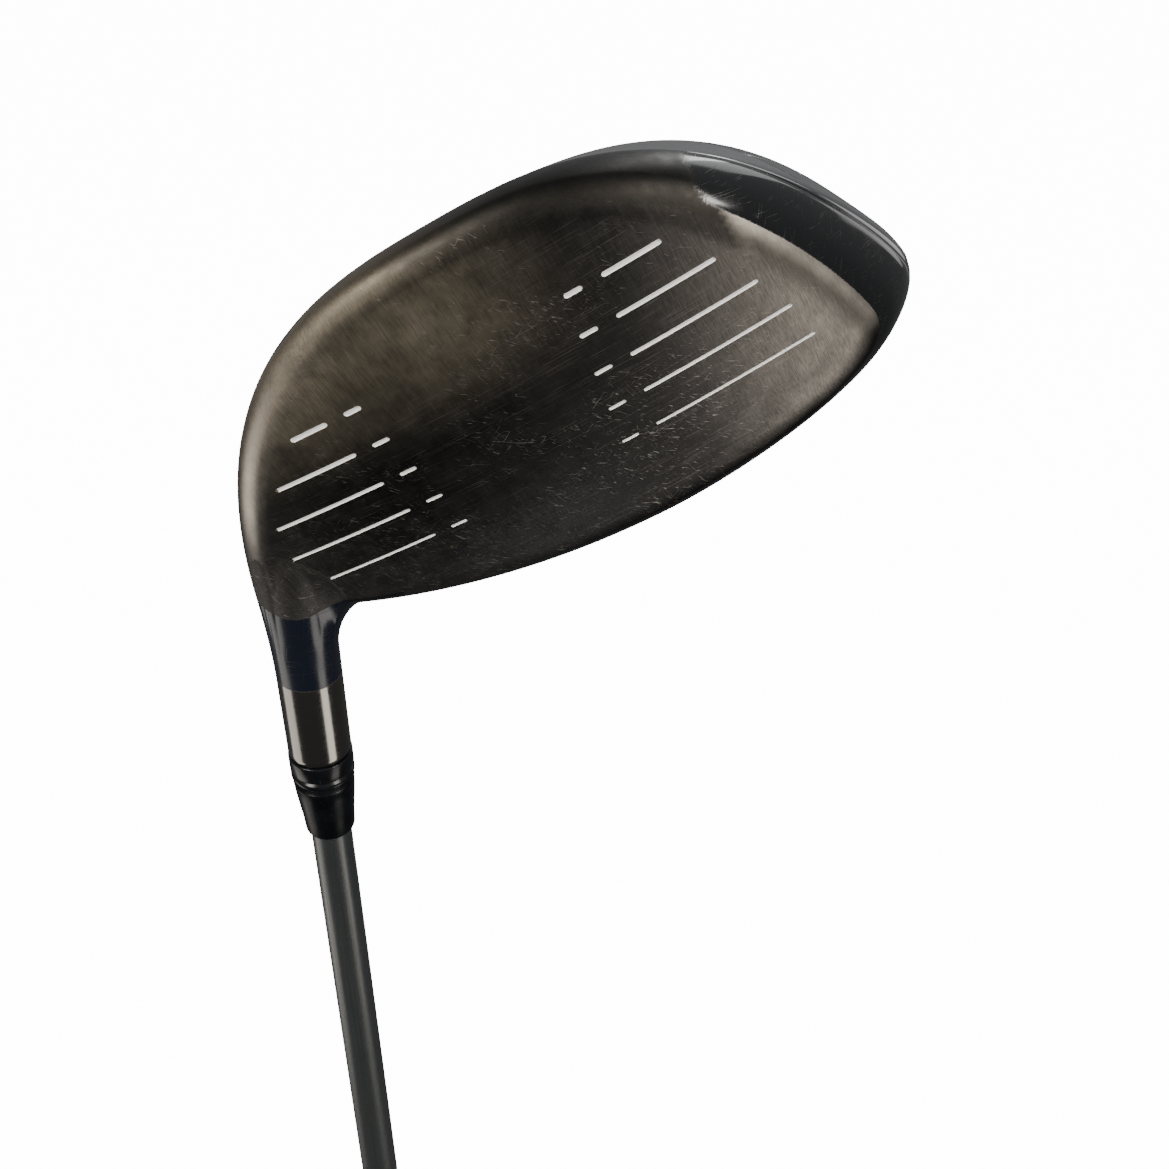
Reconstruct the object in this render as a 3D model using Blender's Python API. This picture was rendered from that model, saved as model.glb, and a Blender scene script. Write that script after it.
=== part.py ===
"""A right-handed golf driver, head up: origin at the grip's butt end, +Z along the shaft towards the
head, the face looking towards -Y and the toe towards +X. Lengths are millimetres until mesh_object
turns them into metres.

The head is drawn in its own axes: a runs from heel to toe along the ground, y from the face to the
rear, h from the sole to the crown. The shaft's axis crosses them at a = h = 0, y = 0.
"""
import bmesh
import bpy
import numpy as np
from math import cos, pi, radians, sin, tan
from mathutils import Vector

# ---- driving dimensions, millimetres and degrees --------------------------------------------------
HEAD_DATUM = 1101.0          # butt end to the head's datum, along the shaft's axis
LIE, LOFT = 60.3, 10.0
GAP = 0.3                    # between pieces that touch

# face
FACE_Y, FACE_A, FACE_H = -12.6, 57.6, -14.2      # middle of the face
BULGE, ROLL = 302.0, 293.0                       # radii of the face, sideways and up
FACE_THICK, CUP_WALL = 3.0, 1.8

# head outline at the face, its widest stations and its rear end
TOE_FRONT, TOE_WIDE, TOE_WIDE_D, TOE_H = 112.4, 122.0, 13.0, 5.2
HEEL_FRONT, HEEL_WIDE, HEEL_WIDE_D, HEEL_H = -7.5, -10.3, 11.0, 0.5
TOP_FRONT, TOP_PEAK, TOP_PEAK_D, TOP_A = 22.2, 23.3, 24.0, 68.2
SOLE_FRONT, SOLE_LOW, SOLE_LOW_D, SOLE_A = -46.5, -47.1, 3.5, 58.5
SOLE_BEND, SOLE_RISE = 0.05, 0.365               # curvature behind the leading edge, then its slope
DEPTH, REAR_A, REAR_H, CROWN_REAR = 109.0, 62.0, -9.0, -3.0
EDGE_TOE, EDGE_HEEL, EDGE_SOLE, EDGE_TOP = 3.0, 2.5, 3.0, 4.0
LEVEL_START, LEVEL_END, REAR_FACE_Y = 6.0, 50.0, -14.0
# outline powers (along a, along h) of the four quarters, at the face and towards the rear
FRONT_POWERS = {"toe_top": (1.66, 2.59), "heel_top": (1.95, 1.38), "heel_sole": (2.69, 0.975),
                "toe_sole": (2.73, 1.26)}
REAR_POWERS = {"toe_top": (2.0, 2.2), "heel_top": (2.0, 2.0), "heel_sole": (2.2, 1.2),
               "toe_sole": (2.3, 1.05)}
# how the toe and heel sides and the rear edge round off, as (power, root)
TOE_CLOSING, HEEL_CLOSING, REAR_CLOSING, REAR_START = (1.8, 0.53), (2.1, 0.5), (6.0, 0.5), 40.0

# shells
PANEL_THICK, LEDGE_TOP, FRAME_WALL, LEDGE = 1.2, 1.5, 2.6, 5.0
CUP_DEPTH_HEEL, CUP_DEPTH_SOLE, CUP_DEPTH_TOE, CUP_DEPTH_TOP = 5.0, 16.0, 9.0, 9.0
COLLAR_END, RING_START, SOLE_END, CROWN_END = 27.0, 60.0, 80.0, 96.0
SKIRT_ABOVE, SKIRT_BELOW, SPINE = 7.0, 10.0, 16.0

# hosel, adapter and bolt: stations along the shaft's axis from the datum, and radii
HOSEL_END, HOSEL_R, HOSEL_BORE_R, TUBE_R = -44.0, 6.45, 5.7, 6.9
NECK_FLARE_START, NECK_FLARE_END, NECK_TOP = -16.0, -3.0, 1.0
# the neck goes on this far at a smaller radius, which keeps a wall in front of the bore
FRONT_WALL_R, FRONT_WALL_STEP, FRONT_WALL_END = 6.3, 1.5, 9.0
FLARE_ALL, FLARE_TOE, FLARE_REAR = 1.6, 2.6, 1.0
# the tube stops TUBE_BACK inside the sole's surface
TUBE_START, TUBE_END, TUBE_BACK = -5.0, 60.0, 0.5
BORE_START, BORE_END, PAST = -60.0, 70.0, 5.0          # cutters run on past what they cut
SEAT_LOW, SEAT_TOP, SEAT_HOLE_R, PORT_R = 16.0, 19.0, 3.1, 5.3
SLEEVE_TOP, SLEEVE_R, SLEEVE_BORE_R, TIP_STATION = -2.0, 5.4, 4.6, -12.0
RING_LOW, RING_R = -50.9, 6.6
FERRULE_LOW, FERRULE_BOND = -66.6, 0.45
BOLT_R, BOLT_HOLE_R, BOLT_TIP, BOLT_HEAD_R, BOLT_HEAD_H = 2.45, 2.75, -9.0, 4.1, 4.4
BOLT_DRIVE_R, BOLT_DRIVE_DEPTH, DRIVE_LOBE = 2.5, 2.6, 0.6
WASHER_R, WASHER_THICK = 4.7, 1.2
CLIP_LOW, CLIP_HIGH, CLIP_R = 4.0, 5.5, 4.9

# rear weight
WEIGHT_A, WEIGHT_Y, WEIGHT_TILT = 60.0, 76.0, 22.0
WEIGHT_R, WEIGHT_THICK, WEIGHT_DEPTH = 7.2, 6.5, 0.8
SCREW_R, SCREW_HEAD_R, SCREW_HEAD_H, SCREW_LENGTH, SCREW_SUNK = 2.0, 3.6, 2.6, 12.7, 0.2
SCREW_DRIVE_R, SCREW_DRIVE_DEPTH, INSERT_R = 2.0, 1.7, 3.6
BOSS_WALL, BOSS_FLOOR, CHAMFER = 2.0, 1.0, 0.6

# shaft and grip, radii at the tip and butt
TIP_R, TIP_PARALLEL, BUTT_R, SHAFT_WALL = 4.3, 48.0, 7.6, 1.1
PLUG_SUNK, PLUG_LENGTH = 1.0, 11.0
GRIP_LENGTH, TAPE_THICK, TAPE_SHORT = 268.0, 0.35, 6.0
# the grip's outside as (share of its length from the butt, radius)
GRIP_SHAPE = ((0.0, 12.7), (0.06, 12.3), (0.2, 11.55), (0.45, 10.6), (0.75, 9.7), (0.97, 9.2),
              (1.0, 8.7))
CAP_THICK, CAP_R, VENT_R = 4.0, 12.9, 1.4

SIDES = 28


# ---- frames ---------------------------------------------------------------------------------------
LIE_SIN, LIE_COS = sin(radians(LIE)), cos(radians(LIE))


def to_row(points):
    """Head axes (a, y, h) to the row's axes, still in millimetres."""
    p = np.asarray(points, float)
    a, y, h = p[..., 0], p[..., 1], p[..., 2]
    return np.stack([a * LIE_SIN + h * LIE_COS, y, HEAD_DATUM + a * LIE_COS - h * LIE_SIN], -1)


def smooth(x):
    x = np.clip(x, 0.0, 1.0)
    return x * x * (3.0 - 2.0 * x)


# ---- the head's outer surface ---------------------------------------------------------------------
def face_y(a, h):
    rise = h - FACE_H
    return FACE_Y + rise * tan(radians(LOFT)) + (a - FACE_A) ** 2 / (2 * BULGE) + rise ** 2 / (2 * ROLL)


def closing(d, start, power, root, depth):
    """1 in front of start, falling to 0 at the rear end like a superellipse."""
    x = np.clip((d - start) / (depth - start), 0.0, 1.0)
    return (1.0 - x ** power) ** root


def edge_inset(d, radius):
    """How far the rounded edge around the face lies inside the outline, d behind the face."""
    x = np.clip(1.0 - d / radius, 0.0, 1.0)
    return radius * (1.0 - np.sqrt(1.0 - x * x)) - 0.3 * radius * (1.0 - x)


def extents(d, inset):
    """The outline's toe, heel, top and sole limits at depth d, and where its quarters meet."""
    depth = DEPTH - inset

    def widen(front, wide, wide_d):
        return wide - (wide - front) * (1.0 - np.clip(d, 0.0, wide_d) / wide_d) ** 2

    toe = REAR_A + (widen(TOE_FRONT, TOE_WIDE, TOE_WIDE_D) - inset - REAR_A) * closing(
        d, TOE_WIDE_D, *TOE_CLOSING, depth)
    heel = REAR_A + (widen(HEEL_FRONT, HEEL_WIDE, HEEL_WIDE_D) + inset - REAR_A) * closing(
        d, HEEL_WIDE_D, *HEEL_CLOSING, depth)
    fall = (TOP_PEAK - CROWN_REAR) / (DEPTH - TOP_PEAK_D) ** 2
    crown = np.where(d < TOP_PEAK_D, TOP_PEAK - (TOP_PEAK - TOP_FRONT) * (1.0 - d / TOP_PEAK_D) ** 2,
                     TOP_PEAK - fall * (d - TOP_PEAK_D) ** 2)
    straight = SOLE_LOW_D + SOLE_RISE / SOLE_BEND
    bend = 0.5 * SOLE_BEND * (np.minimum(d, straight) - SOLE_LOW_D) ** 2
    sole = SOLE_LOW + np.where(d < SOLE_LOW_D, (SOLE_FRONT - SOLE_LOW) * (1.0 - d / SOLE_LOW_D) ** 2,
                               bend + SOLE_RISE * np.maximum(d - straight, 0.0))
    shut = closing(d, REAR_START, *REAR_CLOSING, depth)
    top = REAR_H + (crown - inset - REAR_H) * shut
    bottom = REAR_H + (sole + inset - REAR_H) * shut
    back = smooth(d / DEPTH)
    top_a = TOP_A + (REAR_A - TOP_A) * back
    sole_a = SOLE_A + (REAR_A - SOLE_A) * back
    toe_h = TOE_H + (REAR_H - TOE_H) * back
    heel_h = HEEL_H + (REAR_H - HEEL_H) * back
    return (toe - edge_inset(d, EDGE_TOE), heel + edge_inset(d, EDGE_HEEL),
            top - edge_inset(d, EDGE_TOP), bottom + edge_inset(d, EDGE_SOLE),
            top_a, sole_a, toe_h, heel_h)


def head_point(d, phi, inset=0.0):
    """The head's surface d behind the face; phi turns from the toe over the crown to the heel."""
    d, phi = np.broadcast_arrays(np.asarray(d, float), np.asarray(phi, float))
    toe, heel, top, bottom, top_a, sole_a, toe_h, heel_h = extents(d, inset)
    c, s = np.cos(phi), np.sin(phi)
    rear = smooth((d - 2.0) / 45.0)
    a = np.zeros_like(d)
    h = np.zeros_like(d)
    quarters = {"toe_top": ((c >= 0) & (s >= 0), toe, top_a, top, toe_h),
                "heel_top": ((c < 0) & (s >= 0), heel, top_a, top, heel_h),
                "heel_sole": ((c < 0) & (s < 0), heel, sole_a, bottom, heel_h),
                "toe_sole": ((c >= 0) & (s < 0), toe, sole_a, bottom, toe_h)}
    for name, (inside, side, middle, tall, level) in quarters.items():
        power_a = FRONT_POWERS[name][0] * (1 - rear) + REAR_POWERS[name][0] * rear
        power_h = FRONT_POWERS[name][1] * (1 - rear) + REAR_POWERS[name][1] * rear
        a = np.where(inside, middle + (side - middle) * np.abs(c) ** (2 / power_a), a)
        h = np.where(inside, level + (tall - level) * np.abs(s) ** (2 / power_h), h)
    flat = smooth((d - LEVEL_START) / (LEVEL_END - LEVEL_START))
    y = d + (1 - flat) * face_y(a, h) + flat * REAR_FACE_Y
    return np.stack([a, y, h], -1)


# ---- columns: lines that run from the face to the rear, spaced in millimetres around the head ------
FINE = 720


def around_table(d):
    """Angles and running lengths around the outline at depth d, from the toe over the crown."""
    phi = np.linspace(0.0, 2 * pi, FINE + 1)
    p = head_point(np.full(FINE + 1, d), phi)
    step = np.linalg.norm(np.diff(p, axis=0), axis=1)
    return phi, np.concatenate([[0.0], np.cumsum(step)])


def split(count):
    return [(k + 1) / (count + 1) for k in range(count)]


STEP = 0.15                  # a ledge's wall is this wide
PANEL_EDGE = STEP + GAP      # a panel starts this far past the frame's edge


def edge_columns(side):
    """Offsets in millimetres from a panel opening's edge, into the opening."""
    offsets = [0.0, STEP, PANEL_EDGE, LEDGE]
    return [side * offset for offset in offsets]


def column_plan():
    """Each column as (zone, share of the zone, millimetres past it)."""
    plan = [("toe", 0.0, 0.0)]
    plan += [("crown", 0.0, mm) for mm in edge_columns(1)]
    plan += [("crown", share, 0.0) for share in split(13)]
    plan += [("crown", 1.0, mm) for mm in reversed(edge_columns(-1))]
    plan += [("heel", 0.0, 0.0)]
    plan += [("heel_sole", 0.0, mm) for mm in edge_columns(1)]
    plan += [("heel_sole", share, 0.0) for share in split(5)]
    plan += [("heel_sole", 1.0, mm) for mm in reversed(edge_columns(-1))]
    plan += [("spine", 0.5, 0.0)]
    plan += [("toe_sole", 0.0, mm) for mm in edge_columns(1)]
    plan += [("toe_sole", share, 0.0) for share in split(5)]
    plan += [("toe_sole", 1.0, mm) for mm in reversed(edge_columns(-1))]
    return plan


COLUMNS = column_plan()
DEPTHS = np.concatenate([np.linspace(0.0, 100.0, 51), DEPTH - 9.0 * np.linspace(0.95, 0.02, 8) ** 2])


def column_angles():
    """Angle of every column at every depth in DEPTHS."""
    table = []
    for d in DEPTHS:
        phi, run = around_table(d)
        heel = np.interp(pi, phi, run)
        whole = run[-1]
        size = min(1.0, heel / 75.0)
        low_mid = np.interp(1.5 * pi, phi, run)
        zones = {"toe": (0.0, 0.0),
                 "crown": (SKIRT_ABOVE * size, heel - SKIRT_ABOVE * size),
                 "heel": (heel, heel),
                 "heel_sole": (heel + SKIRT_BELOW * size, low_mid - SPINE / 2 * size),
                 "spine": (low_mid, low_mid),
                 "toe_sole": (low_mid + SPINE / 2 * size, whole - SKIRT_BELOW * size)}
        runs = []
        for zone, share, mm in COLUMNS:
            start, end = zones[zone]
            low, high = start + LEDGE * size, end - LEDGE * size
            if 0.0 < share < 1.0 and start != end:
                runs.append(low + share * (high - low))
            else:
                runs.append(start + share * (end - start) + mm * size)
        table.append(np.interp(runs, run, phi))
    return np.array(table)


ANGLES = column_angles()


def on_column(d, j, inset=0.0):
    phi = np.interp(d, DEPTHS, ANGLES[:, j])
    return head_point(min(d, DEPTH - inset), phi, inset)


def cup_depth(j):
    """How far the face cup wraps back at column j: deepest under the middle, shallow at the heel."""
    phi = np.interp(3.0, DEPTHS, ANGLES[:, j])
    a, _, h = head_point(3.0, phi)
    if h > TOE_H:
        return CUP_DEPTH_HEEL + (CUP_DEPTH_TOP - CUP_DEPTH_HEEL) * smooth((a - 12.0) / 25.0)
    fade_in = smooth((a - 30.0) / 25.0)
    fade_out = smooth((a - 80.0) / 32.0)
    sole = CUP_DEPTH_HEEL + (CUP_DEPTH_SOLE - CUP_DEPTH_HEEL) * fade_in
    return sole + (CUP_DEPTH_TOE - CUP_DEPTH_SOLE) * fade_out


# ---- mesh helpers ---------------------------------------------------------------------------------
def clear_scene():
    for item in list(bpy.data.objects):
        bpy.data.objects.remove(item, do_unlink=True)


def material(name, colour, roughness, metallic):
    made = bpy.data.materials.new(name)
    made.use_nodes = True
    made.diffuse_color = (*colour, 1.0)
    shader = made.node_tree.nodes["Principled BSDF"]
    shader.inputs["Base Color"].default_value = (*colour, 1.0)
    shader.inputs["Roughness"].default_value = roughness
    shader.inputs["Metallic"].default_value = metallic
    return made


def mesh_object(name, points, faces, finish, origin=(0.0, 0.0, 0.0)):
    """A closed solid from row-frame points in millimetres, with its origin where it is asked for."""
    mesh = bpy.data.meshes.new(name)
    place = np.asarray(origin, float)
    mesh.from_pydata([tuple((np.asarray(p) - place) / 1000.0) for p in points], [], faces)
    bm = bmesh.new()
    bm.from_mesh(mesh)
    bmesh.ops.remove_doubles(bm, verts=bm.verts, dist=1e-7)
    bmesh.ops.recalc_face_normals(bm, faces=bm.faces)
    bm.to_mesh(mesh)
    bm.free()
    mesh.shade_smooth()
    mesh.set_sharp_from_angle(angle=radians(30))
    made = bpy.data.objects.new(name, mesh)
    made.location = Vector(tuple(place / 1000.0))
    bpy.context.scene.collection.objects.link(made)
    if finish:
        mesh.materials.append(finish)
    return made


def cutter(made):
    made.hide_render = True
    made.display_type = "WIRE"
    return made


def boolean(target, other, operation):
    change = target.modifiers.new(operation.lower(), "BOOLEAN")
    change.operation = operation
    change.solver = "EXACT"
    change.object = other
    cutter(other)


def ring_stack(rings):
    """Points and faces of rings of equal length joined one to the next, with a fan at each end."""
    count = len(rings[0])
    points = [p for ring in rings for p in ring]
    faces = []
    for i in range(len(rings) - 1):
        for j in range(count):
            k = (j + 1) % count
            faces.append((i * count + j, i * count + k, (i + 1) * count + k, (i + 1) * count + j))
    for i, ring in ((0, rings[0]), (len(rings) - 1, rings[-1])):
        middle = len(points)
        points.append(np.mean(ring, axis=0))
        for j in range(count):
            faces.append((i * count + j, i * count + (j + 1) % count, middle))
    return points, faces


def axis_frame(axis):
    """Two directions square to an axis."""
    w = Vector(axis).normalized()
    u = w.orthogonal().normalized() if abs(w.z) < 0.999 else Vector((1.0, 0.0, 0.0))
    return np.array(u), np.array(w.cross(u)), np.array(w)


def turned(name, outline, finish, base=(0.0, 0.0, HEAD_DATUM), axis=(0.0, 0.0, 1.0), sides=SIDES):
    """A solid of revolution. outline is a closed loop of (radius, station) with no point repeated;
    points at radius 0 close it on the axis."""
    u, v, w = axis_frame(axis)
    base = np.asarray(base, float)
    angles = [2 * pi * k / sides for k in range(sides)]
    on_axis = outline[0][0] == 0.0
    loop = outline[1:-1] if on_axis else outline
    points = []
    for radius, station in loop:
        points += [base + w * station + radius * (u * cos(t) + v * sin(t)) for t in angles]
    faces = []
    rows = len(loop)
    spans = range(rows - 1) if on_axis else range(rows)
    for i in spans:
        n = (i + 1) % rows
        for j in range(sides):
            k = (j + 1) % sides
            faces.append((i * sides + j, i * sides + k, n * sides + k, n * sides + j))
    if on_axis:
        faces.append(tuple(range(sides)))
        faces.append(tuple(range((rows - 1) * sides, rows * sides)))
    return mesh_object(name, points, faces, finish, base)


def lobed_prism(name, radius, depth_in, low, high, base, axis, lobes=6):
    """A six-lobed prism, the shape of a driver bit, for cutting a screw's recess."""
    u, v, w = axis_frame(axis)
    base = np.asarray(base, float)
    count = lobes * 4
    rings = []
    for station in (low, high):
        ring = []
        for k in range(count):
            t = 2 * pi * k / count
            r = radius - depth_in * (0.5 - 0.5 * cos(lobes * t))
            ring.append(base + w * station + r * (u * cos(t) + v * sin(t)))
        rings.append(ring)
    points, faces = ring_stack(rings)
    return cutter(mesh_object(name, points, faces, None))


# ---- shells on the head's surface -----------------------------------------------------------------
def shell(name, rows, inside, outer, inner, finish):
    """A closed shell over the cells where inside(i, j) is true. rows(i, j) is a depth, outer and
    inner give the two skins' insets at a grid corner."""
    columns = len(COLUMNS)
    count = rows["count"]
    depth_at = rows["depth"]
    points = []
    index = {}

    def corner(i, j, side):
        key = (i, j % columns, side)
        if key not in index:
            depth = depth_at(i, j % columns)
            inset = outer(i, j % columns) if side == 0 else inner(i, j % columns)
            index[key] = len(points)
            points.append(to_row(on_column(depth, j % columns, inset)))
        return index[key]

    cells = {(i, j) for i in range(count - 1) for j in range(columns) if inside(i, j)}
    faces = []
    for i, j in sorted(cells):
        for side in (0, 1):
            quad = (corner(i, j, side), corner(i + 1, j, side), corner(i + 1, j + 1, side),
                    corner(i, j + 1, side))
            faces.append(quad if side else tuple(reversed(quad)))
        walls = (((i - 1, j), (i, j), (i, j + 1)), ((i + 1, j), (i + 1, j), (i + 1, j + 1)),
                 ((i, (j - 1) % columns), (i, j), (i + 1, j)),
                 ((i, (j + 1) % columns), (i, j + 1), (i + 1, j + 1)))
        for neighbour, first, second in walls:
            if neighbour not in cells:
                faces.append((corner(*first, 0), corner(*second, 0), corner(*second, 1),
                              corner(*first, 1)))
    return mesh_object(name, points, faces, finish)


def column_ids():
    """The columns of each opening, by name."""
    ids = {}
    for j, (zone, share, mm) in enumerate(COLUMNS):
        ids.setdefault(zone, []).append(j)
    return ids


IDS = column_ids()
CROWN, HEEL_SOLE, TOE_SOLE = IDS["crown"], IDS["heel_sole"], IDS["toe_sole"]


def opening_of(j):
    """The opening that column j lies in, or None on the frame's own bands and edges."""
    for name, columns in (("crown", CROWN), ("sole", HEEL_SOLE), ("sole", TOE_SOLE)):
        if columns[1] <= j <= columns[-2]:
            return name
    return None


def on_ledge_columns(j):
    """Cell j lies on a ledge beside an opening's edge."""
    for columns in (CROWN, HEEL_SOLE, TOE_SOLE):
        if columns[1] <= j <= columns[2] or columns[-4] <= j <= columns[-3]:
            return True
    return False


def in_opening_cell(j):
    for columns in (CROWN, HEEL_SOLE, TOE_SOLE):
        if columns[0] <= j <= columns[-2]:
            return True
    return False


def frame_grid():
    """Rows of the cast frame: the collar behind the cup, then the skirt bands and the spine."""
    shares = [0.0, 0.5, 1.0]
    past = [STEP, LEDGE, 18.0, RING_START - GAP - COLLAR_END]

    def depth(i, j):
        if i < len(shares):
            start = cup_depth(j) + GAP
            return start + shares[i] * (COLLAR_END - start)
        return COLLAR_END + past[i - len(shares)]

    def outer(i, j):
        return LEDGE_TOP if i >= len(shares) and opening_of(j) else 0.0

    def inside(i, j):
        if i < len(shares) + 1:
            return True
        return not in_opening_cell(j) or on_ledge_columns(j) or is_step(j)

    return {"count": len(shares) + len(past), "depth": depth}, inside, outer


def is_step(j):
    return any(j in (columns[0], columns[-2]) for columns in (CROWN, HEEL_SOLE, TOE_SOLE))


def ring_grid():
    """Rows of the rear ring, from behind the frame's bands to the trailing edge."""
    depths = [RING_START, 70.0, SOLE_END - LEDGE, SOLE_END - STEP, SOLE_END, 86.0, CROWN_END - LEDGE,
              CROWN_END - STEP, CROWN_END, 99.5, 102.5, 105.0, 107.0, 108.3, DEPTH]
    ends = {"crown": CROWN_END, "sole": SOLE_END}

    def depth(i, j):
        return depths[i]

    def outer(i, j):
        name = opening_of(j)
        return LEDGE_TOP if name and depths[i] < ends[name] - STEP / 2 else 0.0

    def inside(i, j):
        if not in_opening_cell(j):
            return True
        name = "crown" if CROWN[0] <= j <= CROWN[-1] else "sole"
        return depths[i] > ends[name] - LEDGE - STEP / 2 or on_ledge_columns(j) or is_step(j)

    return {"count": len(depths), "depth": depth}, inside, outer


def panel(name, columns, end, finish, rows=9):
    """A composite panel that fills one opening, a gap inside the frame's edges."""
    first, last = COLLAR_END + PANEL_EDGE, end - PANEL_EDGE
    depths = [first + (last - first) * k / (rows - 1) for k in range(rows)]
    grid = {"count": rows, "depth": lambda i, j: depths[i]}
    return shell(name, grid, lambda i, j: columns[2] <= j < columns[-3], lambda i, j: 0.0,
                 lambda i, j: PANEL_THICK, finish)


def head_solid(name, inset):
    """The head's whole volume, for trimming what stands inside it."""
    count = len(COLUMNS)
    depths = [0.0, 0.8, 2.5, 6.0, 12.0, 20.0, 30.0, 42.0, 55.0, 68.0, 80.0, 90.0, 98.0, 104.0, 108.0]
    rings = [[to_row(on_column(d, j, inset)) for j in range(count)] for d in depths]
    points, faces = ring_stack(rings)
    return cutter(mesh_object(name, points, faces, None))


# ---- the head's parts -----------------------------------------------------------------------------
def make_face_cup(neck_cutter):
    """The titanium face and the wall that wraps back from it, open at the rear."""
    count = len(COLUMNS)
    middle = np.array([FACE_A, 0.0, FACE_H])
    rims = [on_column(0.0, j) for j in range(count)]
    inner_rims = [on_column(FACE_THICK, j, CUP_WALL) for j in range(count)]

    def plate(rim, share, behind):
        a = middle[0] + share * (rim[0] - middle[0])
        h = middle[2] + share * (rim[2] - middle[2])
        return to_row((a, face_y(a, h) + behind, h))

    rings = [[plate(rim, share, 0.0) for rim in rims] for share in (0.3, 0.6, 0.85, 1.0)]
    for d in (0.3, 1.0, 2.2, 3.6):
        rings.append([to_row(on_column(d, j)) for j in range(count)])
    for share in (0.5, 1.0):
        rings.append([to_row(on_column(3.6 + share * (cup_depth(j) - 3.6), j)) for j in range(count)])
    for share in (1.0, 0.5):
        rings.append([to_row(on_column(3.4 + share * (cup_depth(j) - 3.4), j, CUP_WALL))
                      for j in range(count)])
    rings += [[plate(rim, share, FACE_THICK) for rim in inner_rims] for share in (1.0, 0.66, 0.33)]
    points, faces = ring_stack(rings)
    cup = mesh_object("face_cup", points, faces, material("face_metal", (0.16, 0.15, 0.14), 0.38, 1.0))
    boolean(cup, neck_cutter, "DIFFERENCE")


def neck_rings(extra):
    """The hosel's outside, flaring into the crown away from the face."""
    flare = np.linspace(NECK_FLARE_START, NECK_FLARE_END, 5)
    stations = [HOSEL_END - extra, HOSEL_END + CHAMFER, *flare, NECK_TOP, NECK_TOP + FRONT_WALL_STEP,
                FRONT_WALL_END + extra]
    rings = []
    for station in stations:
        grown = np.clip((station - NECK_FLARE_START) / (NECK_FLARE_END - NECK_FLARE_START), 0.0, 1.0)
        ring = []
        for k in range(SIDES):
            t = 2 * pi * k / SIDES
            spread = FLARE_ALL + FLARE_TOE * max(0.0, cos(t)) + FLARE_REAR * max(0.0, sin(t))
            spread *= 1.0 - max(0.0, -sin(t)) ** 2
            radius = HOSEL_R + spread * grown ** 2 + extra
            if station > NECK_TOP:
                radius = FRONT_WALL_R + extra
            if station == HOSEL_END:
                radius -= CHAMFER
            ring.append(np.array([radius * cos(t), radius * sin(t), HEAD_DATUM + station]))
        rings.append(ring)
    return rings


def make_body_frame(finish, hosel_cutter):
    """The cast frame: the collar behind the cup, the skirt bands and the spine under the sole."""
    grid, inside, outer = frame_grid()
    frame = shell("body_frame", grid, inside, outer, lambda i, j: FRAME_WALL, finish)
    boolean(frame, hosel_cutter, "DIFFERENCE")


def make_hosel(finish):
    """The hosel and the tube that runs on from it down to the sole, welded in between cup and frame.
    A seat across its bore holds the bolt's washer; the rest of the bore is the port for the wrench."""
    trim = head_solid("tube_trim", TUBE_BACK)
    hosel = turned("hosel_tube", [(0.0, TUBE_START), (TUBE_R, TUBE_START), (TUBE_R, TUBE_END),
                                  (0.0, TUBE_END)], finish)
    points, faces = ring_stack(neck_rings(0.0))
    neck = mesh_object("neck_stock", points, faces, None)
    bore = turned("hosel_bore", [(0.0, BORE_START), (HOSEL_BORE_R, BORE_START), (HOSEL_BORE_R, SEAT_LOW),
                                 (SEAT_HOLE_R, SEAT_LOW), (SEAT_HOLE_R, SEAT_TOP), (PORT_R, SEAT_TOP),
                                 (PORT_R, BORE_END), (0.0, BORE_END)], None)
    boolean(hosel, trim, "INTERSECT")
    boolean(hosel, neck, "UNION")
    boolean(hosel, bore, "DIFFERENCE")


def weight_base():
    """The middle of the weight pocket's mouth on the sole, and the axis that points out of it."""
    d = WEIGHT_Y - REAR_FACE_Y
    bottom = extents(np.array(d), 0.0)[3]
    place = to_row((WEIGHT_A, WEIGHT_Y, float(bottom)))
    tilt = radians(WEIGHT_TILT)
    out = to_row((0.0, sin(tilt), -cos(tilt))) - to_row((0.0, 0.0, 0.0))
    return place, out


def make_rear_ring(finish, place, out):
    """The ring that closes the rear, with the boss that takes the weight."""
    grid, inside, outer = ring_grid()
    ring = shell("rear_ring", grid, inside, outer, lambda i, j: FRAME_WALL, finish)
    trim = head_solid("boss_trim", TUBE_BACK)
    low = -SCREW_LENGTH - BOSS_FLOOR - 2 * GAP
    boss = turned("boss_stock", [(0.0, low), (WEIGHT_R + BOSS_WALL, low), (WEIGHT_R + BOSS_WALL, PAST),
                                 (0.0, PAST)], None, place, out)
    boolean(boss, trim, "INTERSECT")
    floor = -WEIGHT_DEPTH - WEIGHT_THICK - GAP
    insert_bore = INSERT_R + GAP
    pocket = turned("weight_pocket", [(0.0, low + BOSS_FLOOR), (insert_bore, low + BOSS_FLOOR),
                                      (insert_bore, floor), (WEIGHT_R + GAP, floor),
                                      (WEIGHT_R + GAP, PAST), (0.0, PAST)], None, place, out)
    boolean(ring, boss, "UNION")
    boolean(ring, pocket, "DIFFERENCE")
    return ring


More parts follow.
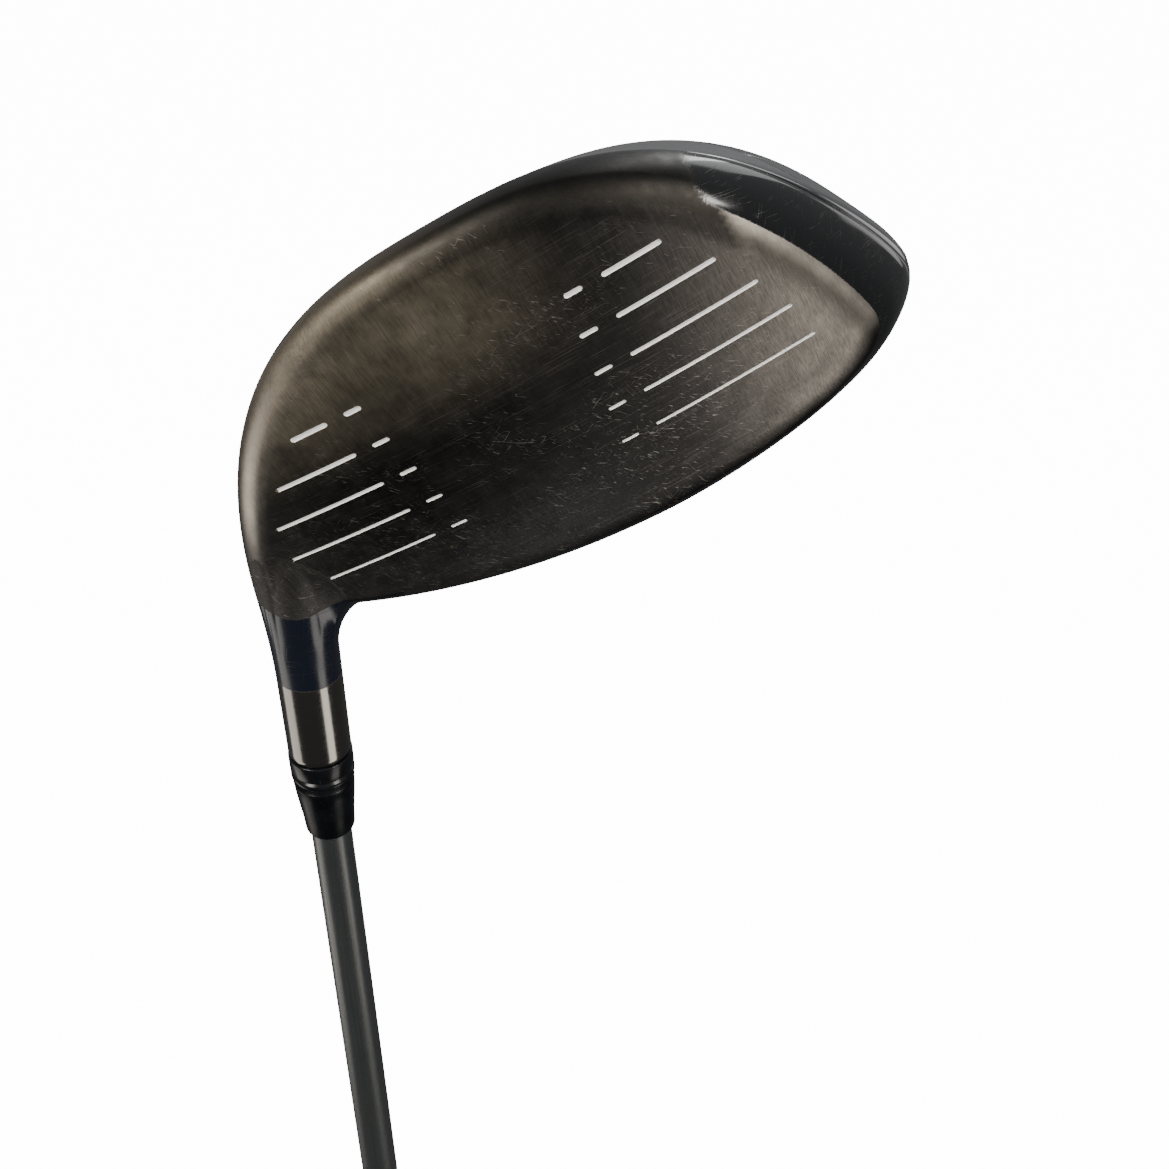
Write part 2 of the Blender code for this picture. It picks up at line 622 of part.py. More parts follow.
def make_weight(place, out):
    """The weight in its pocket, the screw down its middle and the threaded insert below it."""
    low, top = -WEIGHT_DEPTH - WEIGHT_THICK, -WEIGHT_DEPTH
    screw_top = top - SCREW_SUNK
    head_low = screw_top - SCREW_HEAD_H
    bore, counterbore = SCREW_R + GAP, SCREW_HEAD_R + GAP
    turned("weight_cartridge", [(bore, low), (WEIGHT_R, low), (WEIGHT_R, top - CHAMFER),
                                (WEIGHT_R - CHAMFER, top), (counterbore, top),
                                (counterbore, head_low - GAP), (bore, head_low - GAP)],
           material("weight_steel", (0.42, 0.42, 0.43), 0.3, 1.0), place, out)
    screw = turned("weight_screw", [(0.0, -SCREW_LENGTH - GAP), (SCREW_R - 0.5, -SCREW_LENGTH - GAP),
                                    (SCREW_R, -SCREW_LENGTH + GAP), (SCREW_R, head_low),
                                    (SCREW_HEAD_R, head_low), (SCREW_HEAD_R, screw_top - 0.4),
                                    (SCREW_HEAD_R - 0.4, screw_top), (0.0, screw_top)],
                   material("screw_steel", (0.12, 0.12, 0.13), 0.35, 1.0), place, out)
    recess = lobed_prism("weight_recess", SCREW_DRIVE_R, DRIVE_LOBE, screw_top - SCREW_DRIVE_DEPTH, 1.0,
                         place, out)
    boolean(screw, recess, "DIFFERENCE")
    insert_low = -SCREW_LENGTH - 2 * GAP
    insert_top = low - 2 * GAP
    turned("weight_insert", [(bore, insert_low), (INSERT_R, insert_low), (INSERT_R, insert_top),
                             (bore, insert_top)],
           material("insert_steel", (0.5, 0.48, 0.44), 0.35, 1.0), place, out)


# ---- adapter, bolt, shaft and grip -----------------------------------------------------------------
def make_adapter():
    """The sleeve bonded to the shaft's tip, the ring that covers its shoulder, and the ferrule."""
    low, bore_end = RING_LOW + GAP, TIP_STATION + GAP
    turned("loft_sleeve", [(SLEEVE_BORE_R, low), (SLEEVE_R, low), (SLEEVE_R, SLEEVE_TOP - CHAMFER),
                           (SLEEVE_R - CHAMFER, SLEEVE_TOP), (BOLT_HOLE_R, SLEEVE_TOP),
                           (BOLT_HOLE_R, bore_end), (SLEEVE_BORE_R, bore_end)],
           material("sleeve_alloy", (0.55, 0.55, 0.57), 0.35, 1.0))
    inner, top = SLEEVE_R + GAP, HOSEL_END - GAP
    turned("sleeve_ring", [(inner, RING_LOW), (RING_R - 0.6, RING_LOW), (RING_R - 0.2, RING_LOW + 0.6),
                           (RING_R, RING_LOW + 1.8), (RING_R, top - 0.5), (RING_R - 0.4, top),
                           (inner, top)],
           material("adapter_black", (0.012, 0.012, 0.014), 0.18, 0.0))
    # the ferrule's outside as (radius, share of its length from the shaft's side)
    bore, top = TIP_R + FERRULE_BOND, RING_LOW - GAP
    shape = ((4.9, 0.0), (5.25, 0.05), (5.6, 0.3), (6.05, 0.585), (6.35, 0.92), (6.1, 0.98), (5.8, 1.0))
    outside = [(radius, FERRULE_LOW + share * (top - FERRULE_LOW)) for radius, share in shape]
    turned("ferrule", [(bore, FERRULE_LOW), *outside, (bore, top)],
           material("ferrule_black", (0.01, 0.01, 0.012), 0.12, 0.0))


def make_bolt():
    dark = material("bolt_steel", (0.1, 0.1, 0.11), 0.35, 1.0)
    head_low = SEAT_TOP + GAP + WASHER_THICK + GAP
    head_top = head_low + BOLT_HEAD_H
    bolt = turned("hosel_bolt", [(0.0, BOLT_TIP), (BOLT_R - 0.5, BOLT_TIP), (BOLT_R, BOLT_TIP + 0.7),
                                 (BOLT_R, head_low), (BOLT_HEAD_R, head_low),
                                 (BOLT_HEAD_R, head_top - 0.5), (BOLT_HEAD_R - 0.5, head_top),
                                 (0.0, head_top)], dark)
    recess = lobed_prism("bolt_recess", BOLT_DRIVE_R, DRIVE_LOBE, head_top - BOLT_DRIVE_DEPTH,
                         head_top + 1.0, (0.0, 0.0, HEAD_DATUM), (0.0, 0.0, 1.0))
    boolean(bolt, recess, "DIFFERENCE")
    low = SEAT_TOP + GAP
    turned("bolt_washer", [(BOLT_HOLE_R, low), (WASHER_R, low), (WASHER_R, low + WASHER_THICK),
                           (BOLT_HOLE_R, low + WASHER_THICK)], dark)
    turned("bolt_retainer", [(BOLT_HOLE_R, CLIP_LOW), (CLIP_R, CLIP_LOW), (CLIP_R, CLIP_HIGH),
                             (BOLT_HOLE_R, CLIP_HIGH)],
           material("clip_polymer", (0.6, 0.6, 0.58), 0.5, 0.0))


TAPER_START = TIP_STATION - TIP_PARALLEL
BUTT_STATION = CAP_THICK + GAP - HEAD_DATUM


def shaft_radius(station):
    share = min(1.0, max(0.0, (TAPER_START - station) / (TAPER_START - BUTT_STATION)))
    return TIP_R + (BUTT_R - TIP_R) * share


def make_shaft():
    stations = [TIP_STATION, TAPER_START, -300.0, -550.0, GRIP_LENGTH - HEAD_DATUM, BUTT_STATION]
    outside = [(shaft_radius(s), s) for s in stations]
    inside = [(r - SHAFT_WALL, s) for r, s in reversed(outside)]
    turned("shaft", outside + inside, material("graphite", (0.05, 0.052, 0.055), 0.32, 0.0))
    plug_r, plug_top = TIP_R - SHAFT_WALL - GAP, TIP_STATION - PLUG_SUNK
    plug_low = plug_top - PLUG_LENGTH
    turned("tip_plug", [(0.0, plug_low), (plug_r, plug_low), (plug_r, plug_top), (0.0, plug_top)],
           material("plug_brass", (0.5, 0.38, 0.16), 0.4, 1.0))


def make_grip():
    low, high = BUTT_STATION + GAP, GRIP_LENGTH - HEAD_DATUM
    tape_in = [(shaft_radius(s) + GAP, s) for s in (low, high - TAPE_SHORT)]
    tape_out = [(r + TAPE_THICK, s) for r, s in reversed(tape_in)]
    turned("grip_tape", tape_in + tape_out, material("tape", (0.72, 0.66, 0.5), 0.8, 0.0))
    outside = [(r, low + share * (high - low)) for share, r in GRIP_SHAPE]
    bore = [(shaft_radius(s) + 2 * GAP + TAPE_THICK, s) for s in (high, low)]
    turned("grip", outside + bore, material("grip_rubber", (0.02, 0.02, 0.022), 0.75, 0.0))
    base = -HEAD_DATUM
    turned("grip_cap", [(VENT_R, base), (CAP_R - 1.0, base), (CAP_R - 0.3, base + 0.3), (CAP_R, base + 1.0),
                        (CAP_R, base + CAP_THICK), (VENT_R, base + CAP_THICK)],
           material("cap_rubber", (0.025, 0.025, 0.028), 0.6, 0.0))


def main():
    clear_scene()
    paint = material("body_paint", (0.008, 0.01, 0.02), 0.12, 0.0)
    carbon = material("composite", (0.012, 0.012, 0.014), 0.15, 0.0)
    points, faces = ring_stack(neck_rings(GAP))
    neck_cutter = cutter(mesh_object("neck_clearance", points, faces, None))
    tube_r = TUBE_R + GAP
    tube_cutter = turned("tube_clearance", [(0.0, TUBE_START - GAP), (tube_r, TUBE_START - GAP),
                                            (tube_r, TUBE_END), (0.0, TUBE_END)], None)
    boolean(neck_cutter, tube_cutter, "UNION")
    make_face_cup(neck_cutter)
    make_body_frame(paint, neck_cutter)
    make_hosel(paint)
    place, out = weight_base()
    make_rear_ring(material("ring_alloy", (0.02, 0.022, 0.03), 0.2, 0.3), place, out)
    panel("crown_shell", CROWN, CROWN_END, carbon, 12)
    panel("sole_panel_heel", HEEL_SOLE, SOLE_END, carbon, 8)
    panel("sole_panel_toe", TOE_SOLE, SOLE_END, carbon, 8)
    make_weight(place, out)
    make_adapter()
    make_bolt()
    make_shaft()
    make_grip()


main()
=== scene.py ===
"""Looks of a right-handed adjustable golf driver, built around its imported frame.

Lengths are millimetres in the functions here and metres in the meshes. The head is drawn in its own
axes: a runs from heel to toe, y from the face to the rear, h from the sole to the crown, and they
cross the shaft's axis at the head's datum.
"""
from math import cos, pi, radians, sin, tan

import bmesh
import bpy
import numpy as np
from mathutils import Matrix, Vector
from mathutils.bvhtree import BVHTree


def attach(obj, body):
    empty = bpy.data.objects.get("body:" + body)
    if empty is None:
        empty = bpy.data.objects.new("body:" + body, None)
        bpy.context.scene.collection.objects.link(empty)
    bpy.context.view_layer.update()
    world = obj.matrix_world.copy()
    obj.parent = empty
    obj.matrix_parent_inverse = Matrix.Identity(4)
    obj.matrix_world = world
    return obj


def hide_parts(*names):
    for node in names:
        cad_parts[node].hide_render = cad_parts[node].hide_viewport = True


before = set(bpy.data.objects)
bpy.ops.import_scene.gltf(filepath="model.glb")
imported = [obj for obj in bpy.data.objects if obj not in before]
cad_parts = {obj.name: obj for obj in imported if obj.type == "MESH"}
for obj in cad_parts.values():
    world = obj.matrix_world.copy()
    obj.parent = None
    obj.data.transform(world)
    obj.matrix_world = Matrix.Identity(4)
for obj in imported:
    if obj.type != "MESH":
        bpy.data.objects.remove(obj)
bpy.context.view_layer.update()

# ---- dimensions of the head, millimetres and degrees ------------------------------------------------
HEAD_DATUM = 1101.0
LIE, LOFT = 60.3, 10.0
FACE_Y, FACE_A, FACE_H = -12.6, 57.6, -14.2
BULGE, ROLL = 302.0, 293.0
FACE_THICK, CUP_WALL = 3.0, 1.8
TOE_FRONT, TOE_WIDE, TOE_WIDE_D, TOE_H = 112.4, 122.0, 13.0, 5.2
HEEL_FRONT, HEEL_WIDE, HEEL_WIDE_D, HEEL_H = -7.5, -10.3, 11.0, 0.5
TOP_FRONT, TOP_PEAK, TOP_PEAK_D, TOP_A = 22.2, 23.3, 24.0, 68.2
SOLE_FRONT, SOLE_LOW, SOLE_LOW_D, SOLE_A = -46.5, -47.1, 3.5, 58.5
SOLE_BEND, SOLE_RISE = 0.05, 0.365
DEPTH, REAR_A, REAR_H, CROWN_REAR = 109.0, 62.0, -9.0, -3.0
EDGE_TOE, EDGE_HEEL, EDGE_SOLE, EDGE_TOP = 3.0, 2.5, 3.0, 4.0
LEVEL_START, LEVEL_END, REAR_FACE_Y = 6.0, 50.0, -14.0
FRONT_POWERS = {"toe_top": (1.66, 2.59), "heel_top": (1.95, 1.38), "heel_sole": (2.69, 0.975),
                "toe_sole": (2.73, 1.26)}
REAR_POWERS = {"toe_top": (2.0, 2.2), "heel_top": (2.0, 2.0), "heel_sole": (2.2, 1.2),
               "toe_sole": (2.3, 1.05)}
TOE_CLOSING, HEEL_CLOSING, REAR_CLOSING, REAR_START = (1.8, 0.53), (2.1, 0.5), (6.0, 0.5), 40.0

GAP = 0.3
PANEL_THICK, FRAME_WALL = 1.2, 2.6
CUP_DEPTH_HEEL, CUP_DEPTH_SOLE, CUP_DEPTH_TOE, CUP_DEPTH_TOP = 5.0, 16.0, 9.0, 9.0
COLLAR_END, RING_START, SOLE_END, CROWN_END = 27.0, 60.0, 80.0, 96.0
SKIRT_ABOVE, SKIRT_BELOW, SPINE = 7.0, 10.0, 16.0
SEAM, LIP, LIP_DROP = 0.45, 0.35, 0.14           # gap beside a panel, and the rolled lip along each edge

HOSEL_END, HOSEL_R, HOSEL_BORE_R, TUBE_R = -44.0, 6.45, 5.7, 6.9
SEAT_LOW, SEAT_TOP, SEAT_HOLE_R, PORT_R = 16.0, 19.0, 3.1, 5.3
BAND_LOW = -23.2                                 # bare metal from here to the hosel's end
SLEEVE_TOP, SLEEVE_R, SLEEVE_BORE_R, TIP_STATION = -2.0, 5.4, 4.6, -12.0
RING_LOW, FERRULE_LOW = -50.9, -66.6
BOLT_R, BOLT_HOLE_R, BOLT_TIP, BOLT_HEAD_R, BOLT_HEAD_H = 2.45, 2.75, -9.0, 4.1, 4.4
WASHER_THICK = 1.2
WEIGHT_A, WEIGHT_Y, WEIGHT_TILT = 60.0, 76.0, 22.0
WEIGHT_R, WEIGHT_THICK, WEIGHT_DEPTH = 7.2, 6.5, 0.8
SCREW_R, SCREW_HEAD_R, SCREW_HEAD_H, SCREW_LENGTH, SCREW_SUNK = 2.0, 3.6, 2.6, 12.7, 0.2
TIP_R, TIP_PARALLEL, BUTT_R, SHAFT_WALL = 4.3, 48.0, 7.6, 1.1
GRIP_LENGTH, TAPE_THICK, CAP_THICK, CAP_R, VENT_R = 268.0, 0.35, 4.0, 12.9, 1.4

# score lines: five rows, each a long line and a dash on both sides of the bare middle
SCORE_ROWS, SCORE_FIRST, SCORE_STEP, SCORE_DEEP = 5, -29.34, 7.555, 0.22
SCORE_WIDE_SOLE, SCORE_WIDE_TOP, DASH = 0.92, 0.56, 3.14
HEEL_OUTER = (22.0, 13.0, 7.1, 4.35, 7.65)
TOE_OUTER = (89.3, 95.1, 99.2, 102.2, 103.6)
HEEL_INNER, HEEL_DASH, HEEL_SHIFT = 29.06, 32.41, 0.27
TOE_DASH, TOE_INNER, TOE_SHIFT = 72.54, 79.07, -1.3

LIE_SIN, LIE_COS = sin(radians(LIE)), cos(radians(LIE))


# ---- frames and the head's surface -------------------------------------------------------------------
def to_row(points):
    p = np.asarray(points, float)
    a, y, h = p[..., 0], p[..., 1], p[..., 2]
    return np.stack([a * LIE_SIN + h * LIE_COS, y, HEAD_DATUM + a * LIE_COS - h * LIE_SIN], -1)


def to_head(points):
    p = np.asarray(points, float)
    x, y, z = p[..., 0], p[..., 1], p[..., 2] - HEAD_DATUM
    return np.stack([x * LIE_SIN + z * LIE_COS, y, x * LIE_COS - z * LIE_SIN], -1)


def smooth(x):
    x = np.clip(x, 0.0, 1.0)
    return x * x * (3.0 - 2.0 * x)


def face_y(a, h):
    rise = h - FACE_H
    return FACE_Y + rise * tan(radians(LOFT)) + (a - FACE_A) ** 2 / (2 * BULGE) + rise ** 2 / (2 * ROLL)


def closing(d, start, power, root, depth):
    x = np.clip((d - start) / (depth - start), 0.0, 1.0)
    return (1.0 - x ** power) ** root


def edge_inset(d, radius):
    x = np.clip(1.0 - d / radius, 0.0, 1.0)
    return radius * (1.0 - np.sqrt(1.0 - x * x)) - 0.3 * radius * (1.0 - x)


def extents(d, inset):
    """The outline's toe, heel, top and sole limits at depth d, and where its quarters meet."""
    depth = DEPTH - inset

    def widen(front, wide, wide_d):
        return wide - (wide - front) * (1.0 - np.clip(d, 0.0, wide_d) / wide_d) ** 2

    toe = REAR_A + (widen(TOE_FRONT, TOE_WIDE, TOE_WIDE_D) - inset - REAR_A) * closing(
        d, TOE_WIDE_D, *TOE_CLOSING, depth)
    heel = REAR_A + (widen(HEEL_FRONT, HEEL_WIDE, HEEL_WIDE_D) + inset - REAR_A) * closing(
        d, HEEL_WIDE_D, *HEEL_CLOSING, depth)
    fall = (TOP_PEAK - CROWN_REAR) / (DEPTH - TOP_PEAK_D) ** 2
    crown = np.where(d < TOP_PEAK_D, TOP_PEAK - (TOP_PEAK - TOP_FRONT) * (1.0 - d / TOP_PEAK_D) ** 2,
                     TOP_PEAK - fall * (d - TOP_PEAK_D) ** 2)
    straight = SOLE_LOW_D + SOLE_RISE / SOLE_BEND
    bend = 0.5 * SOLE_BEND * (np.minimum(d, straight) - SOLE_LOW_D) ** 2
    sole = SOLE_LOW + np.where(d < SOLE_LOW_D, (SOLE_FRONT - SOLE_LOW) * (1.0 - d / SOLE_LOW_D) ** 2,
                               bend + SOLE_RISE * np.maximum(d - straight, 0.0))
    shut = closing(d, REAR_START, *REAR_CLOSING, depth)
    top = REAR_H + (crown - inset - REAR_H) * shut
    bottom = REAR_H + (sole + inset - REAR_H) * shut
    back = smooth(d / DEPTH)
    return (toe - edge_inset(d, EDGE_TOE), heel + edge_inset(d, EDGE_HEEL),
            top - edge_inset(d, EDGE_TOP), bottom + edge_inset(d, EDGE_SOLE),
            TOP_A + (REAR_A - TOP_A) * back, SOLE_A + (REAR_A - SOLE_A) * back,
            TOE_H + (REAR_H - TOE_H) * back, HEEL_H + (REAR_H - HEEL_H) * back)


def head_point(d, phi, inset=0.0):
    """The head's surface d behind the face; phi turns from the toe over the crown to the heel."""
    d, phi = np.broadcast_arrays(np.asarray(d, float), np.asarray(phi, float))
    toe, heel, top, bottom, top_a, sole_a, toe_h, heel_h = extents(d, inset)
    c, s = np.cos(phi), np.sin(phi)
    rear = smooth((d - 2.0) / 45.0)
    a = np.zeros_like(d)
    h = np.zeros_like(d)
    quarters = {"toe_top": ((c >= 0) & (s >= 0), toe, top_a, top, toe_h),
                "heel_top": ((c < 0) & (s >= 0), heel, top_a, top, heel_h),
                "heel_sole": ((c < 0) & (s < 0), heel, sole_a, bottom, heel_h),
                "toe_sole": ((c >= 0) & (s < 0), toe, sole_a, bottom, toe_h)}
    for name, (inside, side, middle, tall, level) in quarters.items():
        power_a = FRONT_POWERS[name][0] * (1 - rear) + REAR_POWERS[name][0] * rear
        power_h = FRONT_POWERS[name][1] * (1 - rear) + REAR_POWERS[name][1] * rear
        a = np.where(inside, middle + (side - middle) * np.abs(c) ** (2 / power_a), a)
        h = np.where(inside, level + (tall - level) * np.abs(s) ** (2 / power_h), h)
    flat = smooth((d - LEVEL_START) / (LEVEL_END - LEVEL_START))
    y = d + (1 - flat) * face_y(a, h) + flat * REAR_FACE_Y
    return np.stack([a, y, h], -1)


# ---- columns: lines from the face to the rear, spaced around the head ---------------------------------
FINE = 1440
STRETCHES = (("toe_high", 4, False), ("crown", 96, True), ("heel", 12, False), ("heel_sole", 36, True),
             ("spine", 10, False), ("toe_sole", 42, True), ("toe_low", 7, False))


def column_plan():
    """Each column as (stretch, share of it, millimetres past that), lips and seams included."""
    plan = []
    for name, count, opening in STRETCHES:
        near = (SEAM, SEAM + LIP) if opening else (LIP,)
        plan.append((name, 0.0, 0.0))
        plan += [(name, 0.0, mm) for mm in near]
        plan += [(name, (k + 1) / (count + 1), 0.0) for k in range(count)]
        plan += [(name, 1.0, -mm) for mm in reversed(near)]
    return plan


COLUMNS = column_plan()
TABLE_DEPTHS = np.concatenate([np.linspace(0.0, 100.0, 51), DEPTH - 9.0 * np.linspace(0.95, 0.02, 9) ** 2])


def column_angles():
    table = []
    phi = np.linspace(0.0, 2 * pi, FINE + 1)
    for d in TABLE_DEPTHS:
        p = head_point(np.full(FINE + 1, d), phi)
        run = np.concatenate([[0.0], np.cumsum(np.linalg.norm(np.diff(p, axis=0), axis=1))])
        heel, whole = np.interp(pi, phi, run), run[-1]
        low_mid = np.interp(1.5 * pi, phi, run)
        size = min(1.0, heel / 75.0)
        marks = [0.0, SKIRT_ABOVE * size, heel - SKIRT_ABOVE * size, heel + SKIRT_BELOW * size,
                 low_mid - SPINE / 2 * size, low_mid + SPINE / 2 * size, whole - SKIRT_BELOW * size, whole]
        ends = {stretch[0]: (marks[k], marks[k + 1]) for k, stretch in enumerate(STRETCHES)}
        runs = [ends[n][0] + share * (ends[n][1] - ends[n][0]) + mm * size for n, share, mm in COLUMNS]
        table.append(np.interp(np.maximum.accumulate(runs), run, phi))
    return np.array(table)


ANGLES = column_angles()
WIDE = len(COLUMNS)


def on_surface(depths, inset=0.0):
    """Points of a grid of depths, one column of it per column of the head."""
    depths = np.minimum(np.asarray(depths, float), DEPTH - inset)
    phi = np.stack([np.interp(depths[:, j], TABLE_DEPTHS, ANGLES[:, j]) for j in range(WIDE)], -1)
    return head_point(depths, phi, inset)


def straight_rows(values):
    return np.repeat(np.asarray(values, float)[:, None], WIDE, axis=1)


def cup_depths():
    """How far the face cup wraps back at each column."""
    rim = on_surface(straight_rows([3.0]))[0]
    a, h = rim[:, 0], rim[:, 2]
    above = CUP_DEPTH_HEEL + (CUP_DEPTH_TOP - CUP_DEPTH_HEEL) * smooth((a - 12.0) / 25.0)
    below = CUP_DEPTH_HEEL + (CUP_DEPTH_SOLE - CUP_DEPTH_HEEL) * smooth((a - 30.0) / 25.0)
    below += (CUP_DEPTH_TOE - CUP_DEPTH_SOLE) * smooth((a - 80.0) / 32.0)
    return np.where(h > TOE_H, above, below)


CUP_DEPTHS = cup_depths()


# ---- mesh helpers -------------------------------------------------------------------------------------
def mesh_object(name, points, faces, finish, sharp=32.0):
    """A mesh from row-frame points in millimetres."""
    mesh = bpy.data.meshes.new(name)
    mesh.from_pydata([tuple(p) for p in (np.asarray(points, float) / 1000.0).tolist()], [], faces)
    bm = bmesh.new()
    bm.from_mesh(mesh)
    bmesh.ops.remove_doubles(bm, verts=bm.verts, dist=1e-7)
    bmesh.ops.recalc_face_normals(bm, faces=bm.faces)
    bm.to_mesh(mesh)
    bm.free()
    made = bpy.data.objects.new(name, mesh)
    bpy.context.scene.collection.objects.link(made)
    for one in finish if isinstance(finish, (list, tuple)) else [finish]:
        if one:
            mesh.materials.append(one)
    shade(made, sharp)
    return made


def shade(made, sharp=32.0):
    made.data.shade_smooth()
    made.data.set_sharp_from_angle(angle=radians(sharp))


def cut(target, tool, operation="DIFFERENCE"):
    """Applies an exact boolean and removes the tool."""
    change = target.modifiers.new("cut", "BOOLEAN")
    change.operation = operation
    change.solver = "EXACT"
    change.object = tool
    graph = bpy.context.evaluated_depsgraph_get()
    graph.update()
    mesh = bpy.data.meshes.new_from_object(target.evaluated_get(graph))
    target.modifiers.clear()
    target.data = mesh
    bpy.data.objects.remove(tool, do_unlink=True)
    shade(target)


def stack_faces(rows, count, first=0):
    """Quads between rings of equal length."""
    return [(first + i * count + j, first + i * count + (j + 1) % count,
             first + (i + 1) * count + (j + 1) % count, first + (i + 1) * count + j)
            for i in range(rows - 1) for j in range(count)]


def axis_frame(axis):
    w = Vector(axis).normalized()
    u = w.orthogonal().normalized() if abs(w.z) < 0.999 else Vector((1.0, 0.0, 0.0))
    return np.array(u), np.array(w.cross(u)), np.array(w)


def turned(name, outline, finish, base=(0.0, 0.0, HEAD_DATUM), axis=(0.0, 0.0, 1.0), sides=96, wave=None):
    """A solid of revolution from a closed loop of (radius, station). Points at radius 0 close it on the
    axis. wave(angle, station) adds to the radius, and returns 0 where the surface stays round."""
    u, v, w = axis_frame(axis)
    base = np.asarray(base, float)
    angles = np.arange(sides) * 2 * pi / sides
    on_axis = outline[0][0] == 0.0
    loop = outline[1:-1] if on_axis else outline
    points = []
    for radius, station in loop:
        r = radius + (wave(angles, station, radius) if wave else 0.0)
        points += list(base + w * station + (r * (np.outer(np.cos(angles), u) + np.outer(np.sin(angles), v)).T).T)
    rows = len(loop)
    faces = stack_faces(rows, sides)
    if on_axis:
        faces += [tuple(range(sides)), tuple(range((rows - 1) * sides, rows * sides))]
    else:
        last = (rows - 1) * sides
        faces += [(last + j, last + (j + 1) % sides, (j + 1) % sides, j) for j in range(sides)]
    return mesh_object(name, points, faces, finish)


def arc(r, z, radius, start, end, count=5):
    """Points of an arc about (r, z) for an outline; angles in degrees from straight out."""
    return [(r + radius * cos(radians(t)), z + radius * sin(radians(t)))
            for t in np.linspace(start, end, count)]


def lobed_prism(name, radius, depth_in, low, high, base, axis, lobes=6):
    u, v, w = axis_frame(axis)
    base = np.asarray(base, float)
    count = lobes * 12
    t = np.arange(count) * 2 * pi / count
    r = radius - depth_in * (0.5 - 0.5 * np.cos(lobes * t))
    ring = (r * (np.outer(np.cos(t), u) + np.outer(np.sin(t), v)).T).T
    points = list(base + w * low + ring) + list(base + w * high + ring)
    faces = stack_faces(2, count) + [tuple(range(count)), tuple(range(count, 2 * count))]
    return mesh_object(name, points, faces, None)


def dress(piece, body, slot, *nodes):
    """Puts a piece on its body in place of the CAD nodes named. The slot is not used."""
    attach(piece, body)
    if nodes:
        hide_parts(*nodes)
    return piece


# ---- node helpers -------------------------------------------------------------------------------------
class Finish:
    """A material's node tree, with short calls for the nodes that the finishes here use."""

    def __init__(self, name, **shader):
        self.material = bpy.data.materials.new(name)
        self.material.use_nodes = True
        self.tree = self.material.node_tree
        self.shader = self.tree.nodes["Principled BSDF"]
        for key, value in shader.items():
            self.shader.inputs[key.replace("_", " ")].default_value = value

    def add(self, kind, inputs, output=0, **settings):
        made = self.tree.nodes.new(kind)
        for key, value in settings.items():
            setattr(made, key, value)
        for key, value in inputs.items():
            if isinstance(value, bpy.types.NodeSocket):
                self.tree.links.new(value, made.inputs[key])
            else:
                made.inputs[key].default_value = value
        return made.outputs[output]

    def math(self, operation, first, second=0.0, third=0.0, clamp=False):
        return self.add("ShaderNodeMath", {0: first, 1: second, 2: third}, operation=operation,
                        use_clamp=clamp)

    def vector(self, operation, first, second):
        return self.add("ShaderNodeVectorMath", {0: first, 1: second}, operation=operation)

    def place(self):
        """Object coordinates in millimetres."""
        out = self.add("ShaderNodeTexCoord", {}, "Object")
        return self.vector("MULTIPLY", out, (1000.0, 1000.0, 1000.0))

    def head_place(self):
        """Object coordinates in the head's axes a, y, h, in millimetres."""
        moved = self.vector("SUBTRACT", self.place(), (0.0, 0.0, HEAD_DATUM))
        turn = self.add("ShaderNodeVectorRotate", {"Vector": moved, "Angle": radians(90.0 - LIE)},
                        rotation_type="Y_AXIS")
        return self.vector("MULTIPLY", turn, (1.0, 1.0, -1.0))

    def split(self, vector):
        made = self.tree.nodes.new("ShaderNodeSeparateXYZ")
        self.tree.links.new(vector, made.inputs[0])
        return made.outputs

    def noise(self, vector, scale, detail=2.0, rough=0.5, stretch=(1.0, 1.0, 1.0), offset=(0.0, 0.0, 0.0)):
        at = self.vector("ADD", self.vector("MULTIPLY", vector, stretch), offset)
        return self.add("ShaderNodeTexNoise", {"Vector": at, "Scale": scale, "Detail": detail,
                                               "Roughness": rough})

    def ramp(self, value, low, high, start=0.0, end=1.0):
        """value from low to high becomes start to end, eased, and stays there past them."""
        return self.add("ShaderNodeMapRange", {"Value": value, "From Min": low, "From Max": high,
                                               "To Min": start, "To Max": end},
                        interpolation_type="SMOOTHSTEP")

    def mix(self, share, first, second):
        made = self.tree.nodes.new("ShaderNodeMix")
        made.data_type = "RGBA"
        for socket, value in ((made.inputs[0], share), (made.inputs[6], first), (made.inputs[7], second)):
            if isinstance(value, bpy.types.NodeSocket):
                self.tree.links.new(value, socket)
            else:
                socket.default_value = (*value, 1.0) if isinstance(value, tuple) else value
        return made.outputs[2]

    def attribute(self, name):
        made = self.tree.nodes.new("ShaderNodeAttribute")
        made.attribute_name = name
        return made.outputs["Fac"]

    def scratches(self, at, angle, reach, width, low, high, seed):
        """Short straight marks: reach long and width across, in the plane of a and h."""
        turned_at = self.add("ShaderNodeVectorRotate", {"Vector": at, "Angle": radians(angle)},
                             rotation_type="Y_AXIS")
        lines = self.noise(turned_at, 1.0, 1.0, 0.4, (1.0 / reach, 0.3, 1.0 / width), (seed, seed, seed))
        return self.ramp(lines, low, high)

    def bump(self, height, strength, distance, normal=None):
        inputs = {"Height": height, "Strength": strength, "Distance": distance}
        if normal is not None:
            inputs["Normal"] = normal
        return self.add("ShaderNodeBump", inputs)

    def set(self, **sockets):
        for key, value in sockets.items():
            socket = self.shader.inputs[key.replace("_", " ")]
            if isinstance(value, bpy.types.NodeSocket):
                self.tree.links.new(value, socket)
            else:
                socket.default_value = (*value, 1.0) if isinstance(value, tuple) else value
        return self.material


# ---- finishes -----------------------------------------------------------------------------------------
PAINT = (0.004, 0.0045, 0.005)
NAVY = (0.005, 0.007, 0.014)


